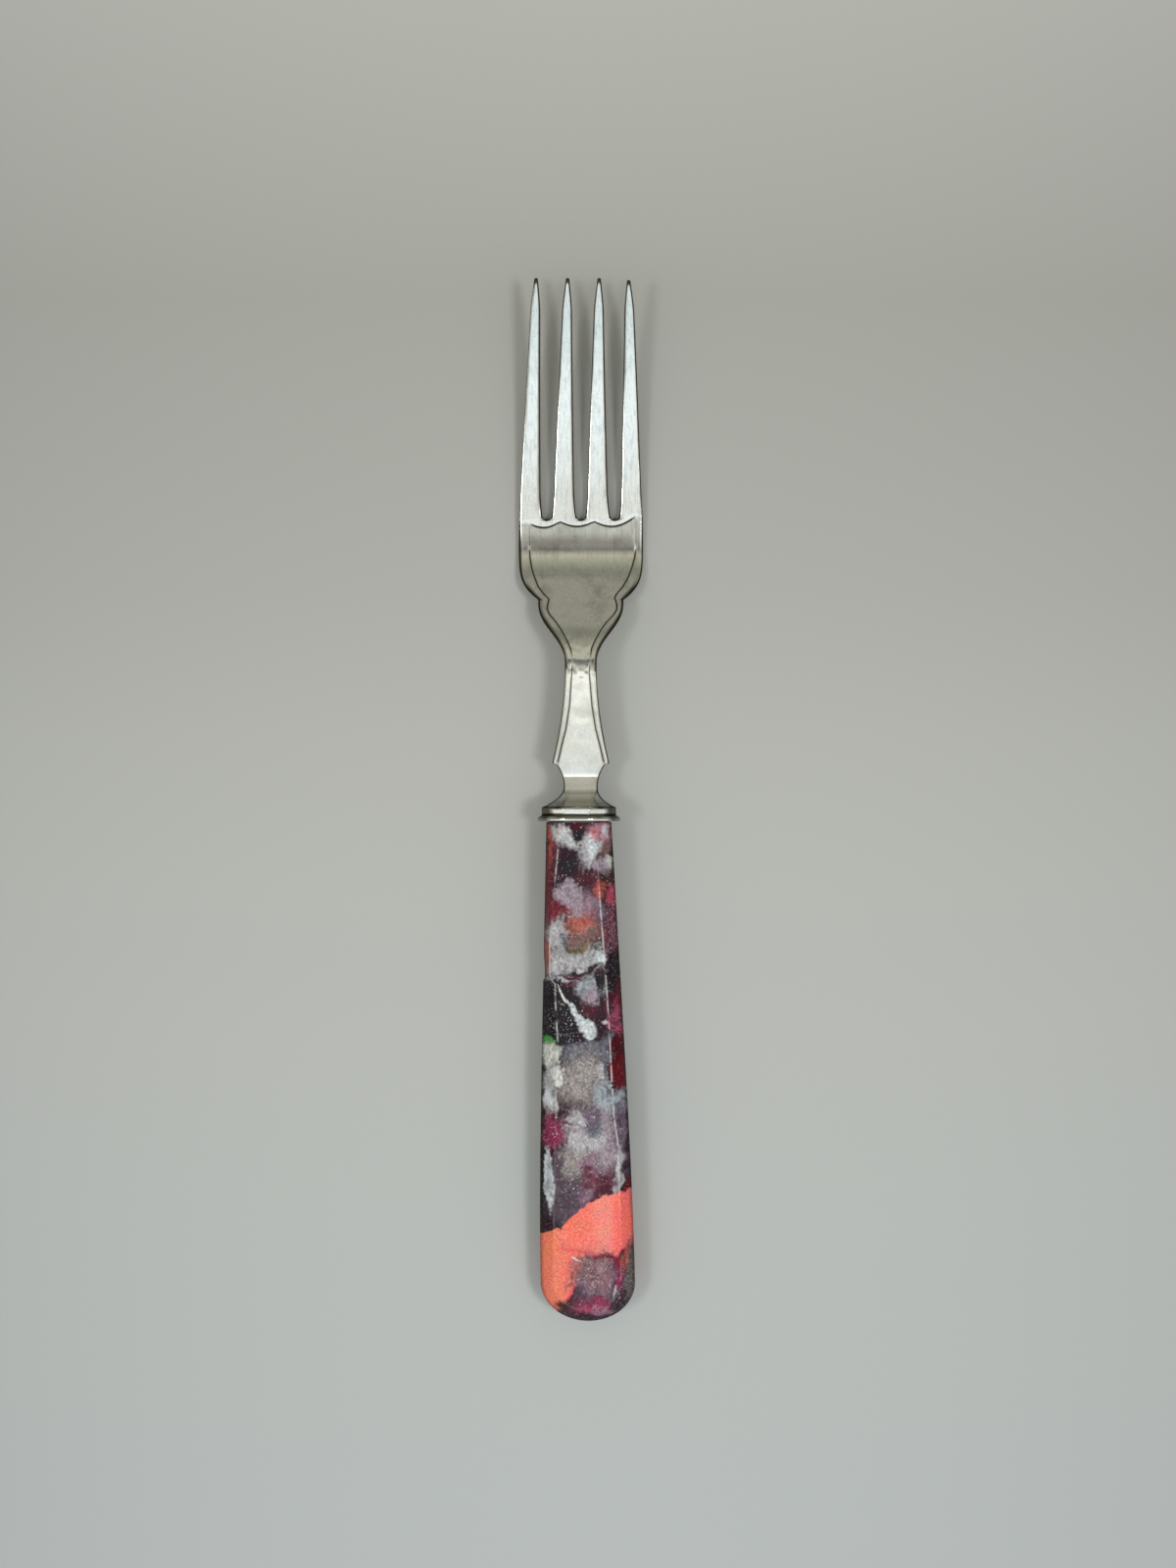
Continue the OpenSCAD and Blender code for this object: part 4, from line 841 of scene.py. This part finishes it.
band_low = np.array([[-10.5, -104], [-7.84, -102.2], [-3, -96.67], [-1, -93.44], [0.6, -90.6], [0.95, -87.3],
                     [2.91, -87.6], [6.82, -88.3], [7.61, -86.4], [10.4, -85.3]])


def lay(colours, share, name):
    """Lays a chip's colour over the colours so far, by its share at each point."""
    return mix(colours, np.array(plastic[name]), share[..., None])


def lay_chips(colours, x, y, some_chips, seed, bend=1.0):
    """Chips as soft ellipses, one over another: waves of 4 and 1.6 mm bend their edges, and finer ones fray them."""
    bent_x = x + bend * (0.28 * ripple((x, y), 4, seed) + 0.13 * ripple((x, y), 1.6, seed + 1))
    bent_y = y + bend * (0.34 * ripple((x, y), 4.4, seed + 2) + 0.13 * ripple((x, y), 1.7, seed + 3))
    frayed = 0.07 * ripple((x, y), 1.1, seed + 4) + 0.05 * ripple((x, y), 0.6, seed + 5)
    for name, chip_x, chip_y, wide, long, *more in some_chips:
        softness, turn = more + [0.5, 0][len(more):]
        c, s = math.cos(math.radians(turn)), math.sin(math.radians(turn))
        right, up = bent_x - chip_x, bent_y - chip_y
        d = np.sqrt(((right * c + up * s) / wide) ** 2 + ((up * c - right * s) / long) ** 2) + frayed
        blur = softness * 1.9 + 0.12
        colours = lay(colours, soft((1 + blur / 2 - d) / blur), name)
    return colours


def lay_coral(colours, x, y):
    """The coral chip across the butt: between two bent lines, crisp above and ragged below, with a dark crease.

    It is more orange to the left and more red along its lower edge; right of the middle it is paler and more pink on
    the flat, as painted light, and on the right facet darker and more red, as painted shade."""
    bent = y + 0.18 * ripple((x, y), 2.2, 61)
    above = np.interp(x, *band_top.T) - bent
    below = bent - np.interp(x, *band_low.T) + 0.2 * ripple((x, y), 1.1, 62)
    share = soft(above / 0.35 + 0.5) * soft(below / 0.7 + 0.5)
    rosy, orange = 0.5 * soft(1 - below / 1.2), soft((-1 - x) / 5)
    # Painted light and shade: paler and pinker on the flat right of the middle, darker and redder on the right facet
    shaded_red = soft((x - 5.4) / 1.6)
    lit_pink = soft((x - 1) / 3) * (1 - shaded_red)
    crease = bump(y + 86.2 + 0.13 * (x + 2), 0.35) * soft((x + 4.2) / 1.5) * soft((5 - x) / 2)
    red = 1 + 0.03 * ripple((x, y), 4, 63) - 0.15 * crease - 0.08 * orange
    green = 1 + 0.05 * ripple((x, y), 4, 64) - rosy + 0.12 * orange + 0.4 * lit_pink - 0.22 * shaded_red - 0.5 * crease
    blue = 1 + 0.06 * ripple((x, y), 5, 65) - 0.1 * orange + 0.6 * lit_pink - 0.1 * shaded_red - 0.25 * crease
    shade = np.stack([red, green, blue], -1)
    return mix(colours, np.clip(np.array(plastic["coral"]) * shade, 0, 1), share[..., None]), share


def brush(colours, x, y, seed):
    """Strokes pressed into the chips, all from bent waves: a pale veil over the paler ones, a dark veil, streaks."""
    def wave(size, k, tall):
        bent_x = x + 0.35 * ripple((x, y), 2.3, seed + k)
        return ripple((bent_x, tall * y + 0.3 * ripple((x, y), 2, seed + k + 20)), size, seed + k + 1)

    pale = 0.3 * soft((wave(1.7, 0, 0.5) + 0.6 * wave(3, 2, 0.8) - 0.1) / 2.6) * soft(colours.mean(-1) / 0.3)
    deep = 0.3 * soft((wave(2, 4, 0.6) + 0.6 * wave(3.4, 6, 0.9) - 0.1) / 2.4)
    colours = lay(lay(colours, pale, "pale"), deep, "ink")
    return colours * np.clip(1 + 0.12 * wave(0.7, 8, 0.35) + 0.1 * wave(1.1, 10, 1), 0.45, 1.6)[..., None]


# Chips are laid over the face and spread down the sides, then the coral chip, then the chips below it
depth = np.clip((grip_level(py) + grip_t / 2 - 3.2) - pz, 0, 4)
spread_x = (px - centre) * (1 + depth / np.maximum(np.abs(px - centre), 3)) + centre
plain = np.zeros(px.shape + (3,)) + np.array(plastic["plum"])
shades = lay_chips(lay_chips(plain, spread_x, py, chips, 31), spread_x, py, crisp_chips, 41, 0.3)
shades, coral_share = lay_coral(brush(shades, spread_x, py, 101), spread_x, py)
ended = lay_chips(shades, spread_x, py, end_chips, 31)
covered = soft(np.abs(ended - shades).sum(-1) / 0.3)
coral_share = coral_share * (1 - covered)
shades = mix(shades, mix(ended, brush(ended, spread_x, py, 151), covered[..., None]), (covered > 0)[..., None])

# The back's chips are laid by chance, from the same plastics
draw = np.random.default_rng(8)
names = ["plum", "ink", "lilac", "pale", "mauve", "grey", "magenta", "wine", "slate", "beige", "brick", "white",
         "rose_grey", "steel", "coral", "umber", "crimson"]
least, most = [-9, -101, 1, 1.2, -60, 0.2], [10, -3, 4.2, 5, 60, 0.5]
back_chips = []
for _ in range(120):
    x, y, wide, long, turn, softness = draw.uniform(least, most)
    back_chips.append((names[draw.integers(len(names))], x, y, wide, long, softness, turn))
back_shades = brush(lay_chips(plain, px, py, back_chips, 71), px, py, 131)
back_shades = lay(back_shades, soft((-84 + 0.5 * px - py) / 0.4) * soft((py + 93 + 0.3 * px) / 0.4), "coral")
back_share = soft((depth - 2 + 0.7 * ripple((py, pz), 3, 81)) / 0.5)
shades = mix(shades, back_shades, back_share[..., None])

# Painted shade makes the edges a little darker, and the ridges between flat and facets are scuffed where a hand rubs
# them
wall_inset = 4 * np.minimum(wall_share, 1 - wall_share) + 0 * half
rim_inset = np.concatenate([front_d, wall_inset, under_d[:, ::-1], wall_inset], 1)
# Painted shade along the grip's edges, on the face, the sides and the back
shades = shades * mix(0.4, 1, soft(rim_inset / 0.9))[..., None]
far_off = 9 + 0 * wall_inset
ridge = np.concatenate([np.abs(front_d - front_w), far_off, np.abs(under_d - under_w)[:, ::-1], far_off], 1)
rubbed_left = np.maximum(soft((-8.5 - py)) * soft(py + 15.5), soft((-24 - py) / 2) * soft((py + 66) / 20))
rubbed = np.where(px > centre, soft((-15 - py) / 3) * soft((py + 79) / 8), rubbed_left)
patchy = np.clip(0.75 + 0.5 * ripple((px, py), 2.5, 91) + 0.3 * ripple((px, py), 0.9, 92), 0, 1)
scuffed = bump(ridge, 0.11) * patchy * mix(0.15, 0.85, rubbed)

# Where fine white fibres are most, as place, half width and half length: in the dark chips and by the right ridge
fibre_spots = [(-3, -43.5, 4, 5), (2, -62, 2.6, 2.6), (5.6, -24, 1.8, 8), (-5.6, -63.6, 2, 3), (6.4, -42.5, 1.6, 2),
               (0.5, -50, 3, 2), (-4, -35, 2, 1), (3, -97.5, 3, 1), (2.5, -92, 3.5, 3), (-1.5, -70, 3, 5),
               (-5, -51, 1.8, 4), (9.4, -93, 1.3, 5)]
thickest = np.max([np.exp(-((px - x) / wide) ** 2 - ((py - y) / long) ** 2)
                   for x, y, wide, long in fibre_spots], axis=0)
fibres = 0.4 + 0.6 * thickest - 0.4 * soft(coral_share * 2.5)

grip_ids = np.arange(px.size).reshape(px.shape)
turned_ids = np.roll(grip_ids, wall_n // 2, 1)
handle = piece("marbled_handle", grip_points.reshape(-1, 3),
               np.concatenate([tube(grip_ids), lid(turned_ids[0], True), lid(turned_ids[-1], False)]), 60)
for name, values in (("scuff", scuffed), ("fibres", fibres), ("coral", coral_share)):
    give(handle, name, values)
tints = np.concatenate([shades, np.ones(px.shape + (1,))], -1).astype(np.float32).ravel()
handle.data.attributes.new("chips", "FLOAT_COLOR", "POINT").data.foreach_set("color", tints)


def strokes(tree, wide, long, turn, place):
    """Noise drawn out to short strokes at an angle: the place is turned first, then divided by width and length."""
    return noise_over(tree, "TEXTURE", [far * mm for far in place], math.radians(turn),
                      (wide * mm, long * mm, wide * mm), 1, 0.5)


# Rubbed plastic: frosted grain, pale and dark fibres that cross, paler grain in the coral chip, and white scuffs
marbled, tree, shader = finish("marbled_plastic", {
    "Specular IOR Level": 0.09, "Coat Weight": 0.03, "Coat Roughness": 0.2})
tint = stored(tree, "chips", "Color")
scuff, fibre, coral = [stored(tree, name) for name in ("scuff", "fibres", "coral")]
frost = grain(tree, (0.3, 0.34, 0.3), 3, 0.65)
leaning = strokes(tree, 0.17, 0.95, -38, (3, 5, 1))
crossing = strokes(tree, 0.17, 0.65, 47, (30, 9, 4))
fibres_seen = sums(tree, "MULTIPLY_ADD", fibre, 0.1, sums(tree, "MAXIMUM", leaning, crossing))
dark_fibres = sums(tree, "MINIMUM", leaning, crossing)
pale_grain = sums(tree, "MULTIPLY", coral, tone(tree, frost, [(0.47, 0), (0.64, 0.3)]))
colour = scale_by_ramp(tree, 1.0, tint, frost, [(0.25, (0.7, 0.7, 0.71)), (0.5, 1), (0.75, 1.32)])
colour = scale_by_ramp(tree, fibre, colour, dark_fibres, [(0.26, (0.4, 0.4, 0.41)), (0.42, 1)])
colour = blend(tree, "MIX", pale_grain, colour, (0.92, 0.4, 0.34))
colour = blend(tree, "MIX", tone(tree, fibres_seen, [(0.765, 0), (0.81, 0.8)]), colour, (0.66, 0.65, 0.68))
colour = blend(tree, "MIX", scuff, colour, (0.68, 0.66, 0.66))
tree.links.new(colour, shader.inputs["Base Color"])
tree.links.new(sums(tree, "MULTIPLY_ADD", frost, 0.25, 0.22), shader.inputs["Roughness"])
relief(tree, shader, frost, 0.25, 0.03)
handle.data.materials.append(marbled)
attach(handle, "root")
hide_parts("handle")


# The table. Smooth grey card with a faint tooth, and painted light falloff in its colour: warmer and darker beside the
# tines, cooler by the handle, and a little darker to both sides. It lies just under the fork.
far, card_z = 900, -0.02
floor = piece("table", np.array([[-far, -far, card_z], [far, -far, card_z], [far, far, card_z], [-far, far, card_z]]),
              np.array([[0, 1, 2, 3]]))
card, tree, shader = finish("grey_card", {"Roughness": 0.85, "Specular IOR Level": 0.2})


def axes_of(tree, kind):
    """Texture coordinates of one kind, whole and as x, y and z."""
    where, axes = tree.nodes.new("ShaderNodeTexCoord"), tree.nodes.new("ShaderNodeSeparateXYZ")
    tree.links.new(where.outputs[kind], axes.inputs[0])
    return where.outputs[kind], *axes.outputs


_, card_x, card_y, _ = axes_of(tree, "Object")
card_len, card_half = 0.32, 0.12
along = sums(tree, "MULTIPLY_ADD", card_y, -1 / card_len, 0.5, True)
aside = sums(tree, "MULTIPLY", card_x, 1 / card_half)
# Painted light falloff along the card: darker by the tines, lighter and cooler by the handle
colour = tone(tree, along, [
    (0, (0.436, 0.44, 0.418)), (0.19, (0.361, 0.361, 0.34)), (0.37, (0.395, 0.4, 0.382)), (0.46, (0.43, 0.436, 0.42)),
    (0.55, (0.448, 0.455, 0.443)), (0.73, (0.453, 0.473, 0.469)), (0.91, (0.445, 0.472, 0.48))])
# Painted light falloff, a little darker to both sides
aside = sums(tree, "MULTIPLY", aside, aside, None, True)
colour = scale_by_ramp(tree, 1.0, colour, aside, [(0, 0.97), (1, (0.885, 0.885, 0.89))])
colour = scale_by_ramp(tree, 0.25, colour, grain(tree, (0.5, 0.5, 0.5), 4, 0.7), [(0.3, 0.9), (0.7, 1)])
tree.links.new(colour, shader.inputs["Base Color"])
floor.data.materials.append(card)


# The light. A pale room, brighter towards the handle's side, with two bright lines there, warm and dim far to the
# left and dark far to the right, a dark spot overhead, and two soft lamps to the right and left.
scene = bpy.context.scene
scene.view_settings.view_transform = "Standard"
scene.world = bpy.data.worlds.new("room")
scene.world.use_nodes = True
tree = scene.world.node_tree
aim, right, back, up = axes_of(tree, "Generated")
turn = sums(tree, "ARCTAN2", sums(tree, "MULTIPLY", back, -1), up)
turn_share = sums(tree, "MULTIPLY_ADD", turn, 1 / math.pi, 0.5, True)
room = [(-90, (0.36, 0.35, 0.3)), (-68, (0.42, 0.41, 0.35)), (-58, (0.32, 0.315, 0.26)), (-48, (0.33, 0.33, 0.27)),
        (-31, (0.48, 0.48, 0.38)), (-17, (0.66, 0.64, 0.53)), (-8, (0.62, 0.6, 0.52)), (-3, (0.7, 0.7, 0.65)),
        (3.3, (1.75, 1.75, 1.66)), (5, (1.03, 1.04, 1)), (6.3, (0.86, 0.9, 0.88)), (9, (1.02, 1.06, 1.05)),
        (11, (1.09, 1.17, 1.21)), (15.5, (1.22, 1.35, 1.39)), (20, (0.9, 1.03, 1.09)), (25, (0.95, 1.05, 1.08)),
        (31, (1.7, 1.68, 1.6)), (37, (1, 1, 0.96)), (45, (0.8, 0.8, 0.78)), (90, (0.4, 0.4, 0.38))]
sky = tone(tree, turn_share, [((angle + 90) / 180, colour) for angle, colour in room])
side_share = sums(tree, "MULTIPLY_ADD", right, 0.5, 0.5, True)
sky = scale_by_ramp(tree, 1.0, sky, side_share, [(0, (0.4, 0.34, 0.27)), (0.1, (0.76, 0.71, 0.64)), (0.3, 1), (0.7, 1),
                                         (0.9, 0.6), (1, 0.2)])
spot = tree.nodes.new("ShaderNodeVectorMath")
spot.operation = "DISTANCE"
tree.links.new(aim, spot.inputs[0])
spot_tilt, spot_in, spot_out = math.radians(2), 0.062, 0.088
spot.inputs[1].default_value = (0, math.sin(spot_tilt), math.cos(spot_tilt))
ring = tree.nodes.new("ShaderNodeMapRange")
ring.interpolation_type = "SMOOTHSTEP"
ring.inputs["From Min"].default_value, ring.inputs["From Max"].default_value = spot_in, spot_out
tree.links.new(spot.outputs["Value"], ring.inputs["Value"])
sky = blend(tree, "MIX", ring.outputs[0], (0.03, 0.035, 0.035), sky)
seen = tree.nodes.new("ShaderNodeLightPath")
sky = blend(tree, "MIX", seen.outputs["Is Camera Ray"], sky, (0.5, 0.51, 0.5))
tree.links.new(sky, tree.nodes["Background"].inputs["Color"])

lamp_size, lamp_up, lamp_along = 0.2, 1.2, -0.09
for name, across, power in (("lamp_right", math.tan(math.radians(19.5)), 4.8),
                            ("lamp_left", -math.tan(math.radians(23.5)), 2.9)):
    lamp = bpy.data.lights.new(name, "AREA")
    lamp.shape, lamp.size, lamp.size_y, lamp.energy = "RECTANGLE", lamp_size, lamp_size, power
    holder = bpy.data.objects.new(name, lamp)
    holder.location = (across * lamp_up, lamp_along * lamp_up, lamp_up)
    holder.rotation_mode = "QUATERNION"
    holder.rotation_quaternion = Vector(holder.location).to_track_quat("Z", "Y")
    scene.collection.objects.link(holder)

# The camera looks straight down from half a metre, a little to the right of the fork's middle and above it
view_tall, sensor, eye_x, eye_y, eye_z = math.radians(34.24), 36, 1.4 * mm, 3.4 * mm, 500 * mm
camera = bpy.data.cameras.new("camera")
eye = bpy.data.objects.new("camera", camera)
scene.collection.objects.link(eye)
scene.camera = eye
camera.sensor_fit = "AUTO"
camera.sensor_width = sensor
camera.lens = sensor / (2 * math.tan(view_tall / 2))
eye.location = (eye_x, eye_y, eye_z)
camera.clip_start = 0.01
